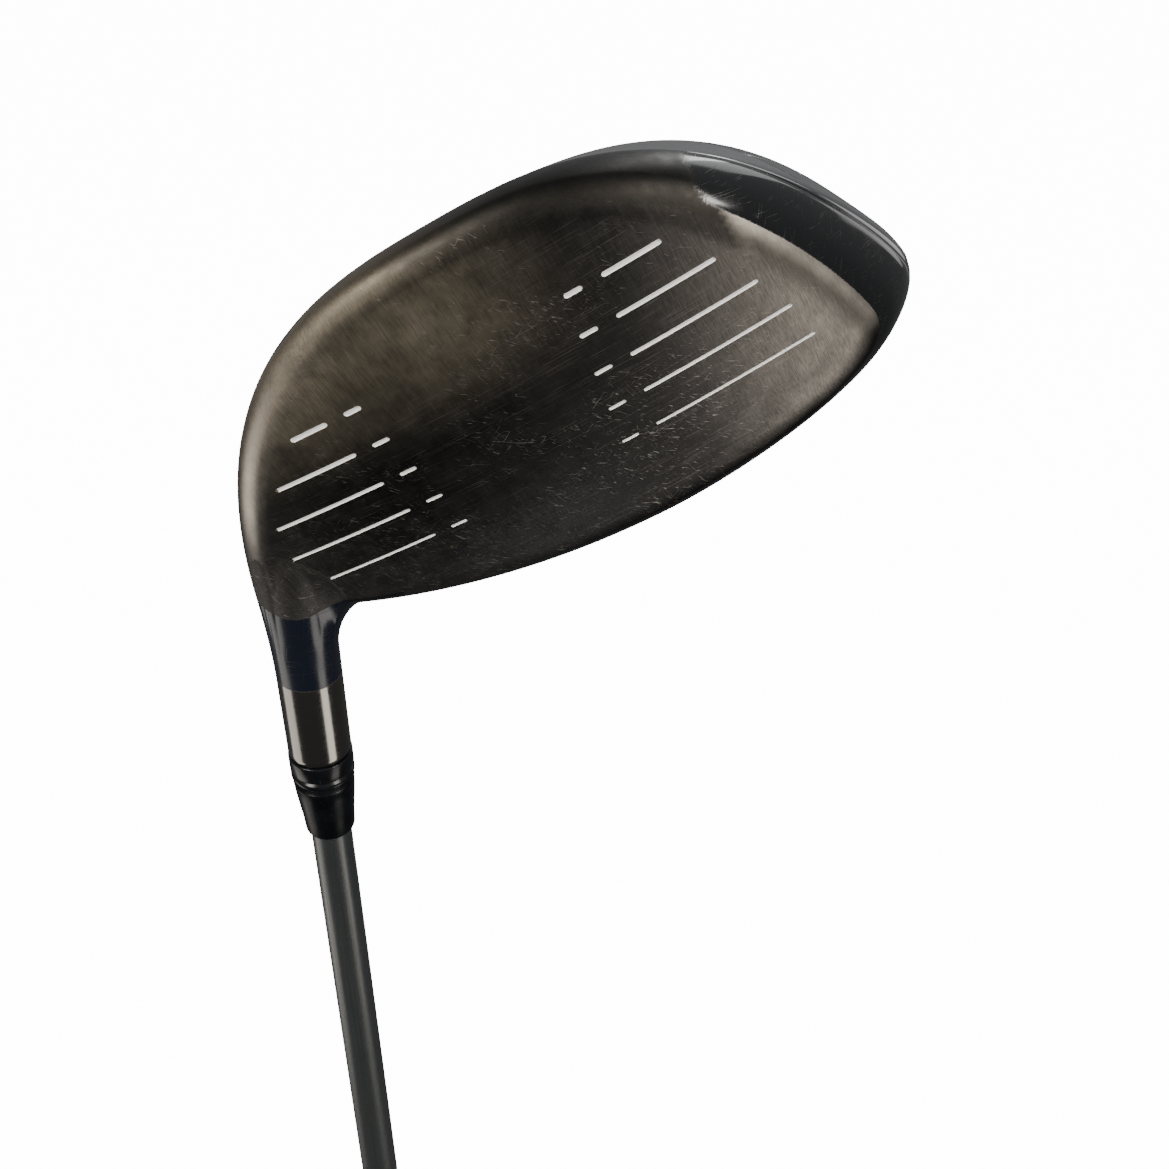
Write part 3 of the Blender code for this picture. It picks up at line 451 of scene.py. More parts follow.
def brushed_colour(made, at):
    """Colour, roughness and height of the dark brushed face metal. The colour also carries painted reflection,
    highlight and shade.
    """
    axes = made.split(at)
    along, up = axes[0], axes[2]
    upright = made.noise(at, 1.0, 4.0, 0.6, (11.0, 2.0, 0.10))
    fine = made.noise(at, 1.0, 3.0, 0.6, (24.0, 4.0, 0.5), (4.0, 0.0, 9.0))
    level = made.noise(at, 1.0, 3.0, 0.55, (0.10, 1.0, 6.5), (3.0, 7.0, 1.0))
    cloud = made.noise(at, 0.045, 4.0, 0.6)
    blotch = made.noise(at, 0.22, 5.0, 0.7, (1.0, 1.0, 1.0), (20.0, 5.0, 3.0))
    speck = made.noise(at, 1.1, 2.0, 0.6, (1.0, 1.0, 1.0), (9.0, 1.0, 6.0))
    # Painted reflection: a warm olive-brown cast towards the sole and the heel.
    warm = made.math("MULTIPLY", made.ramp(up, -16.0, -38.0), made.ramp(along, 82.0, 40.0))
    warm = made.math("MULTIPLY", warm, made.ramp(cloud, 0.25, 0.60, 0.55, 1.0))
    dark = made.mix(blotch, (0.024, 0.024, 0.0245), (0.062, 0.059, 0.056))
    # Painted light: the face made lighter towards the crown, fading out towards the toe.
    upper = made.math("MULTIPLY", made.ramp(up, -8.0, 12.0, 0.0, 0.7), made.ramp(along, 72.0, 44.0))
    dark = made.mix(upper, dark, (0.13, 0.13, 0.13))
    colour = made.mix(warm, dark, (0.52, 0.45, 0.33))
    # Painted reflection: the toe made a lighter grey.
    toe = made.math("MULTIPLY", made.ramp(along, 74.0, 116.0), made.ramp(upright, 0.2, 0.75, 0.65, 1.0))
    colour = made.mix(toe, colour, (0.33, 0.305, 0.275))
    # Painted highlight: the heel end of the face made lighter.
    heel = made.math("MULTIPLY", made.ramp(along, 26.0, -2.0), 0.45)
    colour = made.mix(heel, colour, (0.22, 0.205, 0.19))
    grain = made.math("ADD", made.math("MULTIPLY", upright, 0.6), made.math("MULTIPLY", fine, 0.4))
    colour = made.mix(made.ramp(grain, 0.62, 0.38, 0.0, 0.42), colour, (0.012, 0.012, 0.012))
    colour = made.mix(made.ramp(level, 0.56, 0.72, 0.0, 0.30), colour, (0.30, 0.28, 0.25))
    # Painted shade: the cup's side past the face darkened, more towards the toe.
    wrap = made.math("MULTIPLY", made.attribute("wrap"), made.ramp(along, 18.0, 92.0, 0.30, 0.93))
    colour = made.mix(wrap, colour, (0.022, 0.0215, 0.0205))
    # Painted shade: the rounded edge made near black from mid-face towards the toe, to take out its highlight.
    ridge_shade = made.math("MULTIPLY", made.ramp(along, 24.0, 66.0, 0.0, 0.97), made.ramp(along, 98.0, 101.0, 1.0, 0.6))
    colour = made.mix(made.math("MULTIPLY", made.attribute("rounded"), ridge_shade), colour, (0.003, 0.003, 0.003))
    # Painted highlight, with some wear in it: a bright cream line along the rounded edge, strongest at the heel and
    # the toe.
    ridge_highlight = made.math("MULTIPLY", made.attribute("edge"), made.ramp(fine, 0.3, 0.7, 0.65, 1.0))
    colour = made.mix(ridge_highlight, colour, (0.70, 0.64, 0.56))
    middle = made.math("MULTIPLY", made.ramp(cloud, 0.40, 0.60), made.ramp(speck, 0.35, 0.6, 0.2, 1.0))
    marks = None
    plans = ((38.0, 2.6, 0.24, 0.69, 0.74, 11.0), (58.0, 1.8, 0.20, 0.69, 0.74, 23.0),
             (-31.0, 4.0, 0.09, 0.73, 0.76, 37.0), (80.0, 6.0, 0.08, 0.72, 0.76, 51.0))
    for plan in plans:
        one = made.scratches(at, *plan)
        marks = one if marks is None else made.math("MAXIMUM", marks, one)
    marks = made.math("MULTIPLY", marks, made.math("MULTIPLY", middle, made.ramp(along, 104.0, 78.0, 0.25, 1.0)))
    marks = made.math("MULTIPLY", marks, made.math("SUBTRACT", 1.0, made.attribute("wrap")))
    colour = made.mix(made.math("MULTIPLY", marks, 0.62), colour, (0.60, 0.57, 0.52))
    gold = made.ramp(made.noise(at, 0.30, 3.0, 0.75, (1.0, 1.0, 1.0), (41.0, 2.0, 17.0)), 0.735, 0.76)
    colour = made.mix(made.math("MULTIPLY", gold, 0.8), colour, (0.33, 0.25, 0.12))
    rough = made.math("ADD", made.ramp(blotch, 0.3, 0.7, 0.34, 0.46), made.math("MULTIPLY", grain, 0.10))
    rough = made.math("SUBTRACT", rough, made.math("MULTIPLY", made.attribute("edge"), 0.08))
    height = made.math("ADD", made.math("MULTIPLY", grain, 0.5), made.math("MULTIPLY", level, 0.25))
    height = made.math("SUBTRACT", height, made.math("MULTIPLY", marks, 0.5))
    return colour, rough, height


def face_finish():
    made = Finish("face_brushed_metal", Metallic=1.0)
    colour, rough, height = brushed_colour(made, made.head_place())
    return made.set(Base_Color=colour, Roughness=rough, Normal=made.bump(height, 0.35, 0.00006))


def paint_marks(made, at):
    """Roughness and fine swirl marks of the gloss paint."""
    haze = made.noise(at, 0.12, 3.0, 0.6)
    swirl = made.scratches(at, 25.0, 9.0, 0.09, 0.70, 0.73, 5.0)
    other = made.scratches(at, -52.0, 12.0, 0.08, 0.71, 0.74, 15.0)
    swirl = made.math("MAXIMUM", swirl, other)
    rough = made.math("ADD", made.ramp(haze, 0.3, 0.7, 0.07, 0.15), made.math("MULTIPLY", swirl, 0.25))
    return rough, swirl


def cover_finish():
    """Brushed metal that gives way to gloss paint where the cover attribute passes one half."""
    made = Finish("metal_under_paint", Coat_Roughness=0.04)
    at = made.head_place()
    colour, rough, height = brushed_colour(made, at)
    chips = made.math("MULTIPLY", made.math("SUBTRACT", made.noise(at, 1.6, 3.0, 0.7), 0.5), 0.5)
    cover = made.ramp(made.math("ADD", made.attribute("cover"), chips), 0.35, 0.65)
    gloss, swirl = paint_marks(made, at)
    paint = made.mix(made.math("MULTIPLY", swirl, 0.12), PAINT, (0.2, 0.2, 0.21))
    bare = made.math("SUBTRACT", 1.0, cover)
    rough_cut = made.math("ADD", made.math("MULTIPLY", rough, bare), made.math("MULTIPLY", gloss, cover))
    normal = made.bump(made.math("MULTIPLY", height, bare), 0.35, 0.00006)
    return made.set(Base_Color=made.mix(cover, colour, paint), Metallic=bare, Roughness=rough_cut,
                    Normal=normal)


def paint_finish(name="navy_black_paint", colour=PAINT, low=0.07, high=0.15, coat=0.6):
    made = Finish(name, Coat_Weight=coat, Coat_Roughness=0.05)
    at = made.head_place()
    rough, swirl = paint_marks(made, at)
    rough = made.ramp(rough, 0.05, 0.4, low, high * 2.2)
    fleck = made.noise(at, 9.0, 2.0, 0.5)
    base = made.mix(made.ramp(fleck, 0.55, 0.8), colour, tuple(2.2 * c for c in colour))
    base = made.mix(made.math("MULTIPLY", swirl, 0.10), base, (0.2, 0.2, 0.21))
    peel = made.noise(at, 0.9, 2.0, 0.5)
    return made.set(Base_Color=base, Roughness=rough, Normal=made.bump(peel, 0.12, 0.00004))


def hosel_finish():
    """Cover finish that turns to bare polished metal below the paint line, and inside the bore."""
    made = Finish("hosel_metal_and_paint")
    at = made.head_place()
    own = made.place()
    axes = made.split(own)
    station = made.math("SUBTRACT", axes[2], HEAD_DATUM)
    colour, rough, height = brushed_colour(made, at)
    wobble = made.math("MULTIPLY", made.math("SUBTRACT", made.noise(own, 1.3, 3.0, 0.6), 0.5), 0.5)
    cover = made.ramp(made.math("ADD", made.attribute("cover"), wobble), 0.35, 0.65)
    gloss, swirl = paint_marks(made, at)
    gloss = made.math("ADD", gloss, 0.12)
    paint = made.mix(made.math("MULTIPLY", swirl, 0.06), NAVY, (0.2, 0.2, 0.21))
    low = made.ramp(made.math("ADD", station, made.math("MULTIPLY", wobble, 0.5)), BAND_LOW + 0.1,
                    BAND_LOW - 0.1)
    band = made.math("MAXIMUM", low, made.attribute("bore"))
    rings = made.noise(own, 1.0, 3.0, 0.55, (0.15, 0.15, 6.0))
    steel = made.mix(rings, (0.20, 0.19, 0.175), (0.27, 0.255, 0.235))
    steel = made.mix(made.ramp(made.noise(own, 0.5, 4.0, 0.7), 0.55, 0.75, 0.0, 0.4), steel, (0.2, 0.18, 0.16))
    bare = made.math("MAXIMUM", made.math("SUBTRACT", 1.0, cover), band)
    rough = made.math("ADD", rough, 0.16)
    # Painted shade: the brushed metal on the neck darkened part way to black, to hold down its highlight.
    upper = made.mix(cover, made.mix(0.4, colour, (0.02, 0.02, 0.02)), paint)
    painted_rough = made.math("ADD", made.math("MULTIPLY", rough, made.math("SUBTRACT", 1.0, cover)),
                              made.math("MULTIPLY", gloss, cover))
    steel_rough = made.ramp(rings, 0.3, 0.7, 0.13, 0.20)
    rough_all = made.math("ADD", made.math("MULTIPLY", painted_rough, made.math("SUBTRACT", 1.0, band)),
                          made.math("MULTIPLY", steel_rough, band))
    relief = made.math("ADD", made.math("MULTIPLY", height, made.math("SUBTRACT", bare, band)),
                       made.math("MULTIPLY", rings, made.math("MULTIPLY", band, 0.25)))
    return made.set(Base_Color=made.mix(band, upper, steel), Metallic=bare, Roughness=rough_all,
                    Normal=made.bump(relief, 0.3, 0.00005))


def score_finish():
    made = Finish("score_line_paint")
    at = made.head_place()
    dirt = made.noise(at, 1.6, 4.0, 0.7)
    colour = made.mix(made.ramp(dirt, 0.60, 0.80, 0.0, 0.45), (0.95, 0.95, 0.93), (0.50, 0.46, 0.38))
    return made.set(Base_Color=colour, Roughness=made.ramp(dirt, 0.3, 0.7, 0.45, 0.65),
                    Normal=made.bump(made.noise(at, 6.0, 2.0), 0.3, 0.00004))


def carbon_finish(name, tow, tint):
    """Twill woven carbon under a clear coat."""
    made = Finish(name, Coat_Weight=1.0, Coat_Roughness=0.03)
    at = made.head_place()
    axes = made.split(at)
    across = made.math("DIVIDE", axes[0], tow)
    back = made.math("DIVIDE", axes[1], tow)
    cell = made.math("ADD", made.math("FLOOR", across), made.math("FLOOR", back))
    over = made.math("GREATER_THAN", made.math("FLOORED_MODULO", cell, 4.0), 1.5)
    fibre_a = made.noise(at, 1.0, 2.0, 0.5, (0.3, 14.0, 0.3))
    fibre_y = made.noise(at, 1.0, 2.0, 0.5, (14.0, 0.3, 0.3))
    under = made.math("SUBTRACT", 1.0, over)
    fibre = made.math("ADD", made.math("MULTIPLY", fibre_a, over), made.math("MULTIPLY", fibre_y, under))
    wave_a = made.math("PINGPONG", back, 0.5)
    wave_y = made.math("PINGPONG", across, 0.5)
    height = made.math("ADD", made.math("MULTIPLY", wave_a, over), made.math("MULTIPLY", wave_y, under))
    light = made.math("ADD", made.math("MULTIPLY", fibre, 0.6), made.math("MULTIPLY", over, 0.35))
    colour = made.mix(light, (0.004, 0.004, 0.005), tint)
    rough, swirl = paint_marks(made, at)
    colour = made.mix(made.math("MULTIPLY", swirl, 0.08), colour, (0.3, 0.3, 0.3))
    return made.set(Base_Color=colour, Roughness=made.math("ADD", rough, 0.22),
                    Normal=made.bump(height, 0.35, 0.00005))


def metal_finish(name, dark, light, rough_low, rough_high, ring_scale=5.0, stretch=(0.3, 0.3, 5.0)):
    """Turned metal with fine tool lines, stains and small dents."""
    made = Finish(name, Metallic=1.0)
    at = made.place()
    lines = made.noise(at, 1.0, 3.0, 0.6, tuple(ring_scale * s / 5.0 for s in stretch))
    stain = made.noise(at, 0.35, 4.0, 0.65)
    colour = made.mix(lines, dark, light)
    colour = made.mix(made.ramp(stain, 0.55, 0.8, 0.0, 0.6), colour, tuple(0.5 * c for c in dark))
    rough = made.math("ADD", made.ramp(lines, 0.3, 0.7, rough_low, rough_high),
                      made.ramp(stain, 0.5, 0.8, 0.0, 0.12))
    height = made.math("ADD", lines, made.math("MULTIPLY", made.noise(at, 2.5, 2.0), 0.6))
    return made.set(Base_Color=colour, Roughness=rough, Normal=made.bump(height, 0.25, 0.00004))


def plastic_finish(name, colour, rough_low, rough_high, grain=2.0, coat=0.0, strength=0.2, specular=0.5):
    """Moulded plastic or rubber: faint mottling, dust and a moulded grain."""
    made = Finish(name, Coat_Weight=coat, Coat_Roughness=0.05, Specular_IOR_Level=specular)
    at = made.place()
    mottle = made.noise(at, 0.18, 4.0, 0.65)
    dust = made.noise(at, 2.2, 4.0, 0.75)
    base = made.mix(made.ramp(mottle, 0.35, 0.7), tuple(0.7 * c for c in colour), tuple(1.25 * c for c in colour))
    base = made.mix(made.ramp(dust, 0.62, 0.8, 0.0, 0.25), base, (0.22, 0.21, 0.2))
    rough = made.math("ADD", made.ramp(mottle, 0.3, 0.7, rough_low, rough_high),
                      made.ramp(dust, 0.6, 0.8, 0.0, 0.12))
    return made.set(Base_Color=base, Roughness=rough,
                    Normal=made.bump(made.noise(at, grain, 3.0, 0.6), strength, 0.00006))


def shaft_finish():
    """Satin charcoal paint over graphite, with fine lengthwise drag lines."""
    made = Finish("satin_charcoal_shaft", Coat_Weight=0.25, Coat_Roughness=0.28)
    at = made.place()
    drag = made.noise(at, 1.0, 3.0, 0.6, (2.4, 2.4, 0.03))
    fleck = made.noise(at, 7.0, 2.0, 0.5, (1.0, 1.0, 0.4))
    cloud = made.noise(at, 0.03, 3.0, 0.6)
    colour = made.mix(cloud, (0.034, 0.038, 0.040), (0.056, 0.061, 0.062))
    colour = made.mix(made.ramp(drag, 0.35, 0.7, 0.0, 0.5), colour, (0.022, 0.025, 0.026))
    colour = made.mix(made.ramp(fleck, 0.62, 0.8, 0.0, 0.5), colour, (0.12, 0.125, 0.125))
    rough = made.math("ADD", made.ramp(drag, 0.3, 0.7, 0.30, 0.40), made.ramp(fleck, 0.6, 0.8, 0.0, 0.08))
    return made.set(Base_Color=colour, Metallic=0.35, Roughness=rough,
                    Normal=made.bump(drag, 0.15, 0.00005))


# ---- the head's skins ---------------------------------------------------------------------------------
def shell(name, depths, cells, thick, finish):
    """A closed shell over the grid's cells that are true, its free edges rolled in a little."""
    rows = len(depths)
    padded = np.zeros((rows + 1, WIDE), bool)
    padded[1:-1] = cells
    around = [padded[1:], padded[:-1], np.roll(padded, 1, 1)[1:], np.roll(padded, 1, 1)[:-1]]
    full = np.logical_and.reduce(around)
    used = np.logical_or.reduce(around)
    skin = np.where(full[..., None], on_surface(depths), on_surface(depths, LIP_DROP))
    lining = on_surface(depths, thick)
    number = -np.ones((rows, WIDE), int)
    number[used] = np.arange(used.sum())
    total = int(used.sum())
    points = np.concatenate([to_row(skin[used]), to_row(lining[used])])
    faces = []
    for i, j in zip(*np.nonzero(cells)):
        k = (j + 1) % WIDE
        one, two, three, four = number[i, j], number[i + 1, j], number[i + 1, k], number[i, k]
        faces.append((four, three, two, one))
        faces.append((total + one, total + two, total + three, total + four))
        sides = ((i - 1, j, one, four), (i + 1, j, two, three), (i, (j - 1) % WIDE, one, two),
                 (i, k, four, three))
        for row, column, first, second in sides:
            if row < 0 or row >= rows - 1 or not cells[row, column]:
                faces.append((first, second, total + second, total + first))
    return mesh_object(name, points, faces, finish)


def in_stretch(*names):
    """Which cells, by column, lie in the stretches named."""
    return np.array([column[0] in names for column in COLUMNS])


def panel_cells(name):
    """Cells of one panel: the opening less the seam beside each edge."""
    columns = [j for j, column in enumerate(COLUMNS) if column[0] == name]
    mask = np.zeros(WIDE, bool)
    mask[columns[1]:columns[-1]] = True
    return mask


def lipped(start, end, step):
    """Depths from start to end about step apart, with a close row inside each end."""
    count = max(2, int(round((end - start - 2 * LIP) / step)) + 1)
    return [start, *np.linspace(start + LIP, end - LIP, count), end]


def make_frame(finish, tool):
    starts = CUP_DEPTHS + GAP
    shares = np.linspace(0.0, 1.0, 12)
    collar = np.array([starts] + [starts + LIP + s * (COLLAR_END - 2 * LIP - starts) for s in shares]
                      + [np.full(WIDE, COLLAR_END)])
    bands = straight_rows(lipped(COLLAR_END, RING_START - GAP, 2.2)[1:])
    depths = np.concatenate([collar, bands])
    cells = np.zeros((len(depths) - 1, WIDE), bool)
    cells[:len(collar) - 1] = True
    cells[len(collar) - 1:] = ~in_stretch("crown", "heel_sole", "toe_sole")
    made = shell("body_frame_skin", depths, cells, FRAME_WALL, finish)
    cut(made, tool)
    return dress(made, "head", "body_paint", "body_frame")


def make_rear(finish, place, out):
    sole = in_stretch("heel_sole", "toe_sole")
    crown = in_stretch("crown")
    rows = lipped(RING_START, SOLE_END, 2.0) + [SOLE_END + LIP, *np.linspace(82.0, CROWN_END - LIP, 7),
                                                CROWN_END, CROWN_END + LIP]
    rows += [DEPTH - (DEPTH - CROWN_END - 1.5) * cos(t) for t in np.linspace(0.15, pi / 2, 18)]
    depths = straight_rows(rows)
    middle = (depths[1:] + depths[:-1]) / 2
    cells = np.where(sole, middle > SOLE_END, np.where(crown, middle > CROWN_END, True))
    made = shell("rear_ring_skin", depths, cells, FRAME_WALL, finish)
    drill = turned("weight_drill", [(0.0, -WEIGHT_THICK - 3.0), (WEIGHT_R + 0.9, -WEIGHT_THICK - 3.0),
                                    (WEIGHT_R + 0.9, 9.0), (0.0, 9.0)], None, place, out)
    cut(made, drill)
    dress(made, "head", "ring_alloy", "rear_ring")
    floor = -WEIGHT_DEPTH - WEIGHT_THICK - GAP
    pocket_r = WEIGHT_R + GAP
    boss = turned("weight_pocket_wall", [(pocket_r + 2.0, -0.2), *arc(pocket_r + 0.4, -0.55, 0.35, 90, 180, 4),
                                         (pocket_r, floor), (3.9, floor), (3.9, floor - 4.0),
                                         (pocket_r + 2.0, floor - 4.0)], finish, place, out)
    trim_to_head(boss, 0.35)
    dress(boss, "head", "ring_alloy")


def make_panels(finishes):
    plan = (("crown_shell", "crown", CROWN_END), ("sole_panel_heel", "heel_sole", SOLE_END),
            ("sole_panel_toe", "toe_sole", SOLE_END))
    for name, stretch, end in plan:
        depths = straight_rows(lipped(COLLAR_END + SEAM, end - SEAM, 2.4))
        cells = np.repeat(panel_cells(stretch)[None], len(depths) - 1, axis=0)
        made = shell(name + "_skin", depths, cells, PANEL_THICK, finishes[stretch])
        dress(made, "head", "composite", name)


def trim_to_head(target, inset):
    """Keeps what lies inside the head's own volume."""
    depths = straight_rows([0.0, 0.4, 1.0, 2.0, 3.5, 6.0, *np.linspace(9.0, 105.0, 25), 107.5])
    rings = to_row(on_surface(depths, inset))
    faces = stack_faces(len(depths), WIDE)
    faces += [tuple(range(WIDE)), tuple(range((len(depths) - 1) * WIDE, len(depths) * WIDE))]
    volume = mesh_object("head_volume", rings.reshape(-1, 3), faces, None)
    cut(target, volume, "INTERSECT")


def head_tree():
    """A search tree of the head's outside, for seating pieces on it."""
    depths = straight_rows([0.0, 0.3, 0.7, 1.2, 2.0, 3.0, *np.linspace(4.5, 40.0, 22), 60.0, 90.0])
    skin = on_surface(depths)
    rim = skin[0]
    shares = np.linspace(0.02, 0.98, 25)
    plate = [[FACE_A + s * (rim[:, 0] - FACE_A), FACE_H + s * (rim[:, 2] - FACE_H)] for s in shares]
    front = np.array([np.stack([a, face_y(a, h), h], -1) for a, h in plate])
    rings = np.concatenate([front, skin])
    points = [tuple(p) for p in to_row(rings).reshape(-1, 3)]
    return BVHTree.FromPolygons(points, stack_faces(len(rings), WIDE))


TREE = head_tree()


def seat_point(reach, angle):
    """Where a line beside the hosel first meets the head, coming from the shaft, and the normal there."""
    while reach > 0.0:
        start = Vector((reach * cos(angle), reach * sin(angle), HEAD_DATUM - 60.0))
        place, normal, _, _ = TREE.ray_cast(start, Vector((0.0, 0.0, 1.0)))
        if place is not None:
            return np.array(place), np.array(normal if normal.z < 0 else -normal)
        reach -= 0.1
    raise ValueError("the hosel misses the head")


def sole_station(reach, angle):
    start = Vector((reach * cos(angle), reach * sin(angle), HEAD_DATUM + 120.0))
    place, _, _, _ = TREE.ray_cast(start, Vector((0.0, 0.0, -1.0)))
    return place.z - HEAD_DATUM if place is not None else 28.0


NECK_WALL = 0.6
NECK_SIDES = 128
NECK_STEPS = 20


def neck_reach(t):
    """How far from the shaft's axis the neck runs out onto the head: widest towards the toe."""
    return 9.6 + 2.15 * cos(t) + 2.2 * sin(t) + 0.8 * cos(2 * t) + 1.4 * sin(2 * t)


def make_neck(finish):
    """Hosel, neck and the tube that runs down to the port in the sole, as one skin."""
    profiles = []
    for k in range(NECK_SIDES):
        t = 2 * pi * k / NECK_SIDES
        out = np.array([cos(t), sin(t), 0.0])
        top = np.array([0.0, 0.0, HEAD_DATUM])
        start = -20.5 + 3.5 * cos(t)

        def at(radius, station):
            return top + radius * out + np.array([0.0, 0.0, station])

        profile = [at(HOSEL_R - 0.6, HOSEL_END), at(HOSEL_R - 0.2, HOSEL_END + 0.15),
                   at(HOSEL_R, HOSEL_END + 0.6)]
        profile += [at(HOSEL_R, s) for s in np.linspace(HOSEL_END + 1.5, start, 16)]
        foot, normal = seat_point(neck_reach(t), t)
        radial = float(normal @ out)
        slide = -normal[2] * out + np.array([0.0, 0.0, radial])
        slide /= np.linalg.norm(slide)
        if slide[2] < 0 and radial > 0.2:
            slide = -slide
        begin = profile[-1]
        length = np.linalg.norm(foot - begin)
        for s in np.linspace(0.0, 1.0, NECK_STEPS + 1)[1:]:
            point = ((2 * s ** 3 - 3 * s ** 2 + 1) * begin + (s ** 3 - 2 * s ** 2 + s) * length * 1.15 * np.array(
                [0.0, 0.0, 1.0]) + (3 * s ** 2 - 2 * s ** 3) * foot + (s ** 3 - s ** 2) * length * 0.85 * slide)
            short = HOSEL_BORE_R + NECK_WALL - float(point @ out)
            profile.append(point + max(0.0, short) * out)
        profile.append(foot + 0.8 * slide - 0.5 * normal)
        profile.append(at(TUBE_R, max(14.0, foot[2] - HEAD_DATUM + 2.0)))
        profile.append(at(TUBE_R, sole_station(TUBE_R, t) - 0.5))
        profile.append(at(PORT_R, sole_station(PORT_R, t) - 0.25))
        profile += [at(PORT_R, SEAT_TOP), at(SEAT_HOLE_R, SEAT_TOP), at(SEAT_HOLE_R, SEAT_LOW),
                    at(HOSEL_BORE_R, SEAT_LOW), at(HOSEL_BORE_R, 0.0), at(HOSEL_BORE_R, HOSEL_END + 0.3),
                    at(HOSEL_BORE_R + 0.2, HOSEL_END)]
        profiles.append(profile)
    rings = np.swapaxes(np.array(profiles), 0, 1)
    rows = len(rings)
    faces = stack_faces(rows, NECK_SIDES)
    last = (rows - 1) * NECK_SIDES
    faces += [(last + j, last + (j + 1) % NECK_SIDES, (j + 1) % NECK_SIDES, j) for j in range(NECK_SIDES)]
    made = mesh_object("hosel_and_neck", rings.reshape(-1, 3), faces, finish, 40.0)
    mark_finish(made)
    return dress(made, "head", "body_paint", "hosel_tube")


# ---- where the metal is brushed or painted, and where its edge gets painted highlight and shade ---------
RIDGE_DEEP = 0.85                                # the middle of the face's rounded edge, where the painted highlight sits


def rim_distance(a, h):
    """Distance in the face's plane from the outline, negative outside it."""
    rim = on_surface(straight_rows([0.0]))[0][:, (0, 2)]
    start, end = rim, np.roll(rim, -1, 0)
    run = end - start
    p = np.stack([a, h], -1)[:, None, :]
    share = np.clip(((p - start) * run).sum(-1) / np.maximum((run ** 2).sum(-1), 1e-9), 0.0, 1.0)
    near = np.linalg.norm(p - (start + share[..., None] * run), axis=-1).min(1)
    crosses = ((start[:, 1] > p[..., 1]) != (end[:, 1] > p[..., 1]))
    with np.errstate(divide="ignore", invalid="ignore"):
        where = start[:, 0] + (p[..., 1] - start[:, 1]) * run[:, 0] / run[:, 1]
    inside = (crosses & (p[..., 0] < where)).sum(1) % 2 == 1
    return np.where(inside, near, -near)


def mark_finish(made):
    """Stores, at every vertex, how far the paint covers it, the ridge's painted highlight (with some wear), the wrap
    and the rounded edge that get painted shade, and the bore.
    """
    co = np.zeros(len(made.data.vertices) * 3, np.float32)
    made.data.vertices.foreach_get("co", co)
    row = co.reshape(-1, 3).astype(float) * 1000.0
    a, y, h = to_head(row).T
    x, station = row[:, 0], row[:, 2] - HEAD_DATUM
    behind = y - face_y(a, h)
    inside = rim_distance(a, h)
    # edge: a painted highlight along the ridge, with some wear in it, strongest at the heel and thin at the toe.
    ridge = np.where(behind < 0.1, -np.maximum(inside, 0.0) - RIDGE_DEEP, behind - RIDGE_DEEP)
    heel = 0.6 * smooth((46.0 - a) / 34.0) * smooth((2.0 - h) / 8.0) * smooth((station - 6.0) / 16.0)
    toe_side = smooth((a - 98.5) / 3.0) * smooth((9.0 - h) / 6.0)
    spread = 1.3 - 0.85 * toe_side
    edge = np.maximum(np.maximum(heel, toe_side), 0.04 * smooth((8.0 - h) / 8.0)) * np.exp(-(ridge / spread) ** 2)
    start = 0.6 + 0.55 * smooth((a - 80.0) / 18.0)
    crown = np.minimum((h - 4.0) / 0.5, (behind - start) / 0.3)
    toe = np.minimum((a - 97.5) / 5.0, (behind - start) / 0.3)
    # wrap marks the cup's side past the face and rounded marks its rounded edge; the brushed colour darkens both as
    # painted shade.
    wrap = smooth((behind - 0.1) / 0.8)
    rounded = np.exp(-((ridge - 0.35) / 1.5) ** 2)
    shaft_side = (-5.6 + 0.03 * x * x - station) / 0.5
    rear_side = np.minimum((y + 0.305 * x) / 0.5, (6.0 - station) / 0.5)
    near_neck = np.hypot(x, y) < 20.0
    cover = np.maximum(np.maximum(crown, toe), np.where(near_neck, shaft_side, -9.0))
    if made.name.startswith("hosel"):
        cover = np.maximum(shaft_side, rear_side)
        edge *= 0.0
        wrap *= 0.0
    cover = 0.5 + np.clip(cover, -6.0, 6.0)
    bore = np.hypot(x, y) < HOSEL_R - 0.3
    for name, values in (("cover", cover), ("edge", edge), ("wrap", wrap), ("rounded", rounded),
                         ("bore", bore.astype(float))):
        stored = made.data.attributes.new(name, "FLOAT", "POINT")
        stored.data.foreach_set("value", values.astype(np.float32))


# ---- face cup -------------------------------------------------------------------------------------------
def score_lines():
    """Each score line as (start, end, height, width)."""
    lines = []
    for k in range(SCORE_ROWS):
        h = SCORE_FIRST + k * SCORE_STEP
        wide = SCORE_WIDE_SOLE + (SCORE_WIDE_TOP - SCORE_WIDE_SOLE) * k / (SCORE_ROWS - 1)
        heel_dash, toe_dash = HEEL_DASH + HEEL_SHIFT * k, TOE_DASH + TOE_SHIFT * k
        lines.append((HEEL_OUTER[k], HEEL_INNER + HEEL_SHIFT * k, h, wide))
        lines.append((heel_dash, heel_dash + DASH, h, wide))
        lines.append((toe_dash, toe_dash + DASH, h, wide))
        lines.append((TOE_INNER + TOE_SHIFT * k, TOE_OUTER[k], h, wide))
    return lines


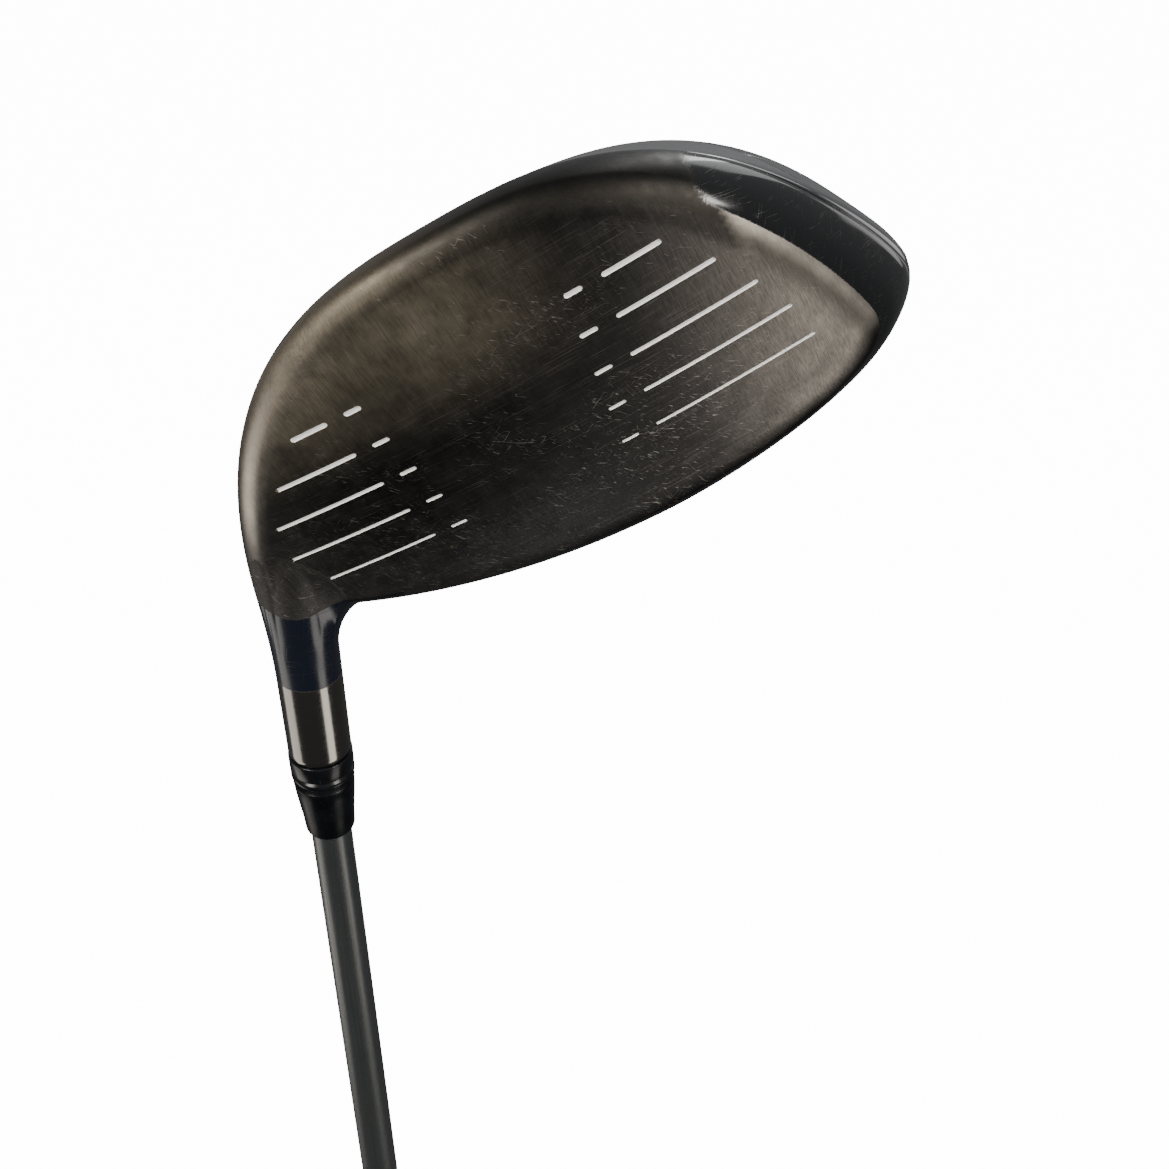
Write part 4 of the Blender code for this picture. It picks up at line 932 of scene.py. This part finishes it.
def score_tool():
    """The cutter for the score lines: a ladder of stations with round ends, just under the face."""
    points, faces = [], []
    for start, end, h, wide in score_lines():
        r = wide / 2
        turns = [radians(t) for t in (12, 35, 60, 85)]
        stations = [(start + r * (1 - cos(t)), r * sin(t)) for t in turns]
        count = max(2, int((end - start) / 2.0))
        stations += [(a, r) for a in np.linspace(start + r, end - r, count)]
        stations += [(end - r * (1 - cos(t)), r * sin(t)) for t in reversed(turns)]
        first = len(points)
        for a, half in stations:
            for level in (-1.5, SCORE_DEEP):
                for side in (-half, half):
                    points.append(to_row((a, face_y(a, h + side) + level, h + side)))
        for k in range(len(stations) - 1):
            n, m = first + 4 * k, first + 4 * k + 4
            faces += [(n, n + 1, m + 1, m), (n + 2, m + 2, m + 3, n + 3), (n, m, m + 2, n + 2),
                      (n + 1, n + 3, m + 3, m + 1)]
        faces += [(first, first + 2, first + 3, first + 1), (m, m + 1, m + 3, m + 2)]
    return mesh_object("score_tool", points, faces, None)


def make_face(finishes, tool):
    rim = on_surface(straight_rows([0.0]))[0]
    inner_rim = on_surface(straight_rows([FACE_THICK]), CUP_WALL)[0]

    def plate(edge, share, behind):
        a = FACE_A + share * (edge[:, 0] - FACE_A)
        h = FACE_H + share * (edge[:, 2] - FACE_H)
        return np.stack([a, face_y(a, h) + behind, h], -1)

    wrap = np.array([0.12, 0.3, 0.55, 0.8, 1.1, 1.5, 2.0, 2.6, 3.3])
    front = [plate(rim, s, 0.0) for s in np.linspace(0.03, 1.0, 34)]
    side = [on_surface(straight_rows([d]))[0] for d in wrap]
    for share in (0.2, 0.4, 0.6, 0.8):
        side.append(on_surface((3.3 + share * (CUP_DEPTHS - LIP - 3.3))[None])[0])
    side.append(on_surface((CUP_DEPTHS - LIP)[None])[0])
    side.append(on_surface(CUP_DEPTHS[None], LIP_DROP)[0])
    back = [on_surface(CUP_DEPTHS[None], CUP_WALL)[0],
            on_surface((3.4 + 0.5 * (CUP_DEPTHS - 3.4))[None], CUP_WALL)[0]]
    back += [plate(inner_rim, s, FACE_THICK) for s in (1.0, 0.6, 0.1)]
    rings = to_row(np.array(front + side + back))
    faces = stack_faces(len(rings), WIDE)
    faces += [tuple(range(WIDE)), tuple(range((len(rings) - 1) * WIDE, len(rings) * WIDE))]
    made = mesh_object("face_cup_skin", rings.reshape(-1, 3), faces, finishes)
    cut(made, tool)
    cut(made, score_tool())
    mesh = made.data
    mesh.materials.clear()
    for one in finishes:
        mesh.materials.append(one)
    centre = np.zeros(len(mesh.polygons) * 3, np.float32)
    mesh.polygons.foreach_get("center", centre)
    a, y, h = to_head(centre.reshape(-1, 3).astype(float) * 1000.0).T
    behind = y - face_y(a, h)
    inside = rim_distance(a, h)
    index = np.where(behind < 0.05, 0, 1)
    index[(inside > 3.0) & (behind > 0.03) & (behind < 1.0)] = 2
    mesh.polygons.foreach_set("material_index", index.astype(np.int32))
    mesh.update()
    mark_finish(made)
    return dress(made, "head", "face_metal", "face_cup")


def hosel_clearance():
    """The hole through cup and frame that the hosel's own bore and tube show in."""
    steps = [(0.0, -40.0), (6.3, -40.0), (6.3, 15.0), (PORT_R + 0.05, 15.0), (PORT_R + 0.05, 70.0), (0.0, 70.0)]
    return turned("hosel_clearance", steps, None, sides=64)


# ---- turned pieces --------------------------------------------------------------------------------------
def weight_place():
    """The middle of the weight pocket's mouth on the sole, and the axis that points out of it."""
    bottom = extents(np.array(WEIGHT_Y - REAR_FACE_Y), 0.0)[3]
    tilt = radians(WEIGHT_TILT)
    out = to_row((0.0, sin(tilt), -cos(tilt))) - to_row((0.0, 0.0, 0.0))
    return to_row((WEIGHT_A, WEIGHT_Y, float(bottom))), out


def make_weight(place, out):
    low, top = -WEIGHT_DEPTH - WEIGHT_THICK, -WEIGHT_DEPTH
    screw_top = top - SCREW_SUNK
    head_low = screw_top - SCREW_HEAD_H
    bore, counter = SCREW_R + GAP, SCREW_HEAD_R + GAP
    steel = metal_finish("weight_alloy", (0.30, 0.30, 0.31), (0.48, 0.48, 0.49), 0.22, 0.36)
    dark = metal_finish("screw_oxide", (0.05, 0.05, 0.055), (0.12, 0.12, 0.125), 0.28, 0.42)
    outline = [(bore, low), *arc(WEIGHT_R - 0.3, low + 0.3, 0.3, -90, 0, 3),
               *arc(WEIGHT_R - 0.6, top - 0.6, 0.6, 0, 90), (5.6, top), (5.45, top - 0.18), (5.2, top - 0.18),
               (5.05, top), *arc(counter + 0.25, top - 0.25, 0.25, 90, 180, 3), (counter, head_low - GAP),
               (bore, head_low - GAP)]
    dress(turned("weight_disc", outline, steel, place, out), "weight_cartridge", "weight_steel",
          "weight_cartridge")
    outline = [(0.0, -SCREW_LENGTH - GAP), (SCREW_R - 0.5, -SCREW_LENGTH - GAP),
               (SCREW_R, -SCREW_LENGTH + GAP), (SCREW_R, head_low), *arc(SCREW_HEAD_R - 0.2, head_low + 0.2, 0.2, -90, 0, 3),
               *arc(SCREW_HEAD_R - 0.45, screw_top - 0.45, 0.45, 0, 90), (0.0, screw_top)]
    screw = turned("weight_screw_turned", outline, dark, place, out)
    cut(screw, lobed_prism("recess", 2.0, 0.5, screw_top - 1.7, 1.0, place, out))
    dress(screw, "weight_screw", "screw_steel", "weight_screw")


def make_adapter():
    alloy = metal_finish("sleeve_alloy_turned", (0.42, 0.42, 0.44), (0.62, 0.62, 0.64), 0.2, 0.32)
    outline = [(SLEEVE_BORE_R, RING_LOW + GAP), (SLEEVE_R, RING_LOW + GAP), (SLEEVE_R, -32.0), (SLEEVE_R - 0.3, -31.6),
               (SLEEVE_R - 0.3, -30.2), (SLEEVE_R, -29.8), *arc(SLEEVE_R - 0.6, SLEEVE_TOP - 0.6, 0.6, 0, 90),
               (BOLT_HOLE_R, SLEEVE_TOP), (BOLT_HOLE_R, TIP_STATION + GAP), (SLEEVE_BORE_R, TIP_STATION + GAP)]
    dress(turned("loft_sleeve_turned", outline, alloy), "shaft_assembly", "sleeve_alloy", "loft_sleeve")
    black = plastic_finish("black_anodised_ring", (0.004, 0.0045, 0.006), 0.20, 0.28, 3.0, 0.0, 0.1,
                           0.25)
    r = HOSEL_R + 0.15
    top = HOSEL_END - GAP
    outline = [(SLEEVE_R + GAP, RING_LOW), (r - 1.0, RING_LOW), *arc(r - 0.95, RING_LOW + 0.95, 0.95, -90, 60, 9),
               (r - 0.75, RING_LOW + 2.1), *arc(r - 0.35, RING_LOW + 2.75, 0.35, -60, 0, 3),
               *arc(r - 0.4, top - 0.4, 0.4, 0, 90, 4), (SLEEVE_R + GAP, top)]
    dress(turned("sleeve_ring_turned", outline, black), "shaft_assembly", "adapter_black", "sleeve_ring")
    top = RING_LOW - GAP
    bore = TIP_R + 0.45
    gloss = plastic_finish("polished_black_ferrule", (0.003, 0.0035, 0.005), 0.26, 0.34, 1.5, 0.0, 0.08,
                           0.12)
    outline = [(bore, FERRULE_LOW), *arc(4.75, FERRULE_LOW + 0.55, 0.5, -80, -5, 5),
               (5.45, FERRULE_LOW + 4.0), (5.75, FERRULE_LOW + 7.0), (6.0, FERRULE_LOW + 9.5),
               (6.2, top - 3.6), *arc(5.95, top - 1.2, 0.42, -30, 60, 6), (5.9, top - 0.2), (5.75, top),
               (bore, top)]
    dress(turned("ferrule_turned", outline, gloss), "shaft_assembly", "ferrule_black", "ferrule")


def make_bolt():
    dark = metal_finish("bolt_oxide", (0.06, 0.06, 0.065), (0.13, 0.13, 0.14), 0.25, 0.4)
    head_low = SEAT_TOP + 2 * GAP + WASHER_THICK
    head_top = head_low + BOLT_HEAD_H
    threads = []
    pitch = 0.8
    count = int(11.0 / pitch)
    for k in range(count):
        z = BOLT_TIP + 1.0 + k * pitch
        threads += [(BOLT_R, z), (BOLT_R, z + 0.12), (BOLT_R - 0.28, z + 0.42), (BOLT_R - 0.28, z + 0.55)]
    outline = [(0.0, BOLT_TIP), (BOLT_R - 0.5, BOLT_TIP), *threads, (BOLT_R, BOLT_TIP + 12.2), (BOLT_R, head_low),
               (BOLT_HEAD_R, head_low), *arc(BOLT_HEAD_R - 0.5, head_top - 0.5, 0.5, 0, 90), (0.0, head_top)]
    bolt = turned("hosel_bolt_turned", outline, dark)
    cut(bolt, lobed_prism("recess", 2.5, 0.6, head_top - 2.6, head_top + 1.0, (0.0, 0.0, HEAD_DATUM),
                          (0.0, 0.0, 1.0)))
    dress(bolt, "hosel_bolt", "screw_steel", "hosel_bolt")


TAPER_START = TIP_STATION - TIP_PARALLEL
BUTT_STATION = CAP_THICK + GAP - HEAD_DATUM


def shaft_radius(station):
    share = min(1.0, max(0.0, (TAPER_START - station) / (TAPER_START - BUTT_STATION)))
    return TIP_R + (BUTT_R - TIP_R) * share


def make_shaft():
    stations = [TIP_STATION, TAPER_START, *np.linspace(TAPER_START - 12.0, BUTT_STATION, 60)]
    outside = [(shaft_radius(s), s) for s in stations]
    inside = [(shaft_radius(s) - SHAFT_WALL, s) for s in (BUTT_STATION, TAPER_START, TIP_STATION)]
    dress(turned("shaft_turned", outside + inside, shaft_finish()), "shaft_assembly", "graphite", "shaft")


def grip_wave(angles, station, radius):
    """Crossed helical grooves on the grip's outside, fading out at both ends."""
    low, high = BUTT_STATION + GAP, GRIP_LENGTH - HEAD_DATUM
    share = (station - low) / (high - low)
    if radius < shaft_radius(station) + 2 * GAP + TAPE_THICK + 0.05:
        return np.zeros_like(angles)
    fade = float(smooth((share - 0.05) / 0.02) * smooth((0.93 - share) / 0.02))
    one = np.cos(14 * angles + 2 * pi * station / 8.0)
    two = np.cos(14 * angles - 2 * pi * station / 8.0)
    groove = np.clip((np.maximum(one, two) - 0.72) / 0.28, 0.0, 1.0)
    ring = 0.0
    for place in (0.03, 0.945, 0.955, 0.965):
        ring += np.exp(-((share - place) * (high - low) / 0.7) ** 2)
    return -0.28 * groove * fade - 0.3 * ring


def make_grip():
    low, high = BUTT_STATION + GAP, GRIP_LENGTH - HEAD_DATUM
    radii = ((0.0, 12.7), (0.06, 12.3), (0.2, 11.55), (0.45, 10.6), (0.75, 9.7), (0.97, 9.2), (1.0, 8.7))
    shares = np.linspace(0.0, 1.0, 260)
    r = np.interp(shares, [p[0] for p in radii], [p[1] for p in radii])
    outside = [(float(q), low + float(s) * (high - low)) for s, q in zip(shares, r)]
    bore = [(shaft_radius(s) + 2 * GAP + TAPE_THICK, s) for s in (high, low)]
    rubber = plastic_finish("grip_rubber_moulded", (0.020, 0.020, 0.022), 0.6, 0.78, 1.2, 0.0, 0.35)
    grip = turned("grip_moulded", outside + bore, rubber, sides=168, wave=grip_wave)
    dress(grip, "shaft_assembly", "grip_rubber", "grip")
    cap = plastic_finish("cap_rubber_moulded", (0.025, 0.025, 0.028), 0.45, 0.6, 2.0, 0.0, 0.3)
    base = -HEAD_DATUM
    outline = [(VENT_R, base + 0.5), *arc(VENT_R + 0.5, base + 0.5, 0.5, 180, 270, 4), (5.0, base), (5.3, base + 0.35),
               (5.9, base + 0.35), (6.2, base), (9.0, base), (9.2, base + 0.3), (9.6, base + 0.3), (9.8, base),
               *arc(CAP_R - 1.2, base + 1.2, 1.2, -90, 0, 7), *arc(CAP_R - 0.3, base + CAP_THICK - 0.3, 0.3, 0, 90, 3),
               (VENT_R, base + CAP_THICK)]
    dress(turned("grip_cap_moulded", outline, cap), "shaft_assembly", "cap_rubber", "grip_cap")


def finish_inner_nodes():
    """Better materials for the small inner pieces, whose CAD shapes stay."""
    steel = metal_finish("inner_steel", (0.20, 0.20, 0.21), (0.36, 0.36, 0.37), 0.25, 0.4)
    plans = {"bolt_washer": steel, "weight_insert": steel,
             "bolt_retainer": plastic_finish("natural_polymer", (0.55, 0.54, 0.50), 0.4, 0.55),
             "tip_plug": metal_finish("turned_brass", (0.38, 0.26, 0.09), (0.62, 0.46, 0.18), 0.25, 0.4),
             "grip_tape": plastic_finish("paper_tape", (0.62, 0.56, 0.42), 0.7, 0.85, 3.0, 0.0, 0.4)}
    for name, finish in plans.items():
        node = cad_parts[name]
        node.data.materials.clear()
        node.data.materials.append(finish)


# ---- camera, floor and light ------------------------------------------------------------------------------
CAMERA = (0.035309, -0.199916, 1.248528)
CAMERA_AZIMUTH, CAMERA_ELEVATION, CAMERA_ROLL, CAMERA_LENS = -5.3176, 37.1098, 1.2769, 40.66


def set_camera():
    az, el, roll = radians(CAMERA_AZIMUTH), radians(CAMERA_ELEVATION), radians(CAMERA_ROLL)
    back = Vector((sin(az) * cos(el), -cos(az) * cos(el), sin(el)))
    right = (-back).cross(Vector((0.0, 0.0, 1.0))).normalized()
    up = right.cross(-back)
    across = right * cos(roll) + up * sin(roll)
    upward = up * cos(roll) - right * sin(roll)
    data = bpy.data.cameras.new("camera")
    data.lens = CAMERA_LENS
    data.sensor_width = 36.0
    data.clip_start, data.clip_end = 0.005, 100.0
    camera = bpy.data.objects.new("camera", data)
    turn = Matrix((across, upward, back)).transposed().to_4x4()
    camera.matrix_world = Matrix.Translation(CAMERA) @ turn
    bpy.context.scene.collection.objects.link(camera)
    bpy.context.scene.camera = camera


def make_stage():
    """A plain pale floor and a pale dome that stands on it; only the camera sees them."""
    size, low = 30.0, -0.002
    corners = [(-size, -size, low), (size, -size, low), (size, size, low), (-size, size, low)]
    floor = bpy.data.meshes.new("floor")
    floor.from_pydata(corners, [], [(0, 1, 2, 3)])
    dome = bpy.data.meshes.new("dome")
    bm = bmesh.new()
    bmesh.ops.create_uvsphere(bm, u_segments=48, v_segments=24, radius=0.9 * size)
    bm.to_mesh(dome)
    bm.free()
    made = Finish("pale_stage", Roughness=0.9, Emission_Color=(1.0, 1.0, 1.0, 1.0), Emission_Strength=14.0)
    tone = made.noise(made.place(), 0.004, 2.0)
    finish = made.set(Base_Color=made.mix(tone, (0.90, 0.90, 0.90), (0.92, 0.92, 0.92)))
    for mesh in (floor, dome):
        mesh.materials.append(finish)
        stage = bpy.data.objects.new(mesh.name, mesh)
        bpy.context.scene.collection.objects.link(stage)
        stage.visible_glossy = False
        stage.visible_diffuse = False
        stage.visible_shadow = False


def area_light(name, place, target, width, height, power, colour=(1.0, 1.0, 1.0)):
    data = bpy.data.lights.new(name, "AREA")
    data.shape = "RECTANGLE"
    data.size, data.size_y = width, height
    data.energy = power
    data.color = colour
    light = bpy.data.objects.new(name, data)
    light.location = place
    light.rotation_mode = "QUATERNION"
    light.rotation_quaternion = (Vector(target) - Vector(place)).to_track_quat("-Z", "Y")
    light.visible_camera = False
    bpy.context.scene.collection.objects.link(light)


def set_lights():
    """Soft boxes round the head, and a dim surround that is darker below than above."""
    world = bpy.data.worlds.new("soft_surround")
    world.use_nodes = True
    tree = world.node_tree
    place = tree.nodes.new("ShaderNodeTexCoord")
    axes = tree.nodes.new("ShaderNodeSeparateXYZ")
    tone = tree.nodes.new("ShaderNodeMapRange")
    tone.interpolation_type = "SMOOTHSTEP"
    for key, value in (("From Min", -0.9), ("From Max", 0.7), ("To Min", 0.06), ("To Max", 0.36)):
        tone.inputs[key].default_value = value
    tree.links.new(place.outputs["Generated"], axes.inputs[0])
    tree.links.new(axes.outputs[2], tone.inputs["Value"])
    tree.links.new(tone.outputs[0], tree.nodes["Background"].inputs["Strength"])
    tree.nodes["Background"].inputs["Color"].default_value = (0.97, 0.98, 1.0, 1.0)
    bpy.context.scene.world = world
    head = (0.045, 0.0, 1.13)
    neck = (0.0, 0.0, 1.06)
    warm = (1.0, 0.95, 0.88)
    area_light("key_left", (-0.9, -0.9, 2.0), head, 0.5, 0.5, 22.0, warm)
    area_light("key_right", (0.95, -0.75, 1.9), head, 0.35, 0.5, 14.0, warm)
    area_light("low_left", (-0.78, -0.08, 0.46), neck, 0.5, 0.7, 2.2, warm)
    area_light("low_right", (0.66, -0.52, 0.45), neck, 0.35, 0.7, 2.4, warm)
    area_light("rear_strip", (0.5, 1.4, 2.1), head, 0.3, 1.2, 5.0)
    area_light("toe_panel", (0.72, 1.15, 1.80), head, 0.55, 0.5, 1.4)
    area_light("toe_panel_low", (1.25, 0.95, 1.35), head, 0.5, 0.5, 1.0)


# ---- everything -------------------------------------------------------------------------------------------
def main():
    set_camera()
    make_stage()
    set_lights()
    paint = paint_finish()
    face, cover = face_finish(), cover_finish()
    make_face([face, cover, score_finish()], hosel_clearance())
    make_frame(paint, hosel_clearance())
    make_neck(hosel_finish())
    place, out = weight_place()
    satin = paint_finish("satin_black_alloy", (0.014, 0.015, 0.018), 0.22, 0.30, 0.1)
    make_rear(satin, place, out)
    crown = carbon_finish("crown_carbon", 2.2, (0.030, 0.031, 0.034))
    sole = carbon_finish("sole_carbon", 2.2, (0.045, 0.046, 0.050))
    make_panels({"crown": crown, "heel_sole": sole, "toe_sole": sole})
    make_weight(place, out)
    make_adapter()
    make_bolt()
    make_shaft()
    make_grip()
    finish_inner_nodes()


main()
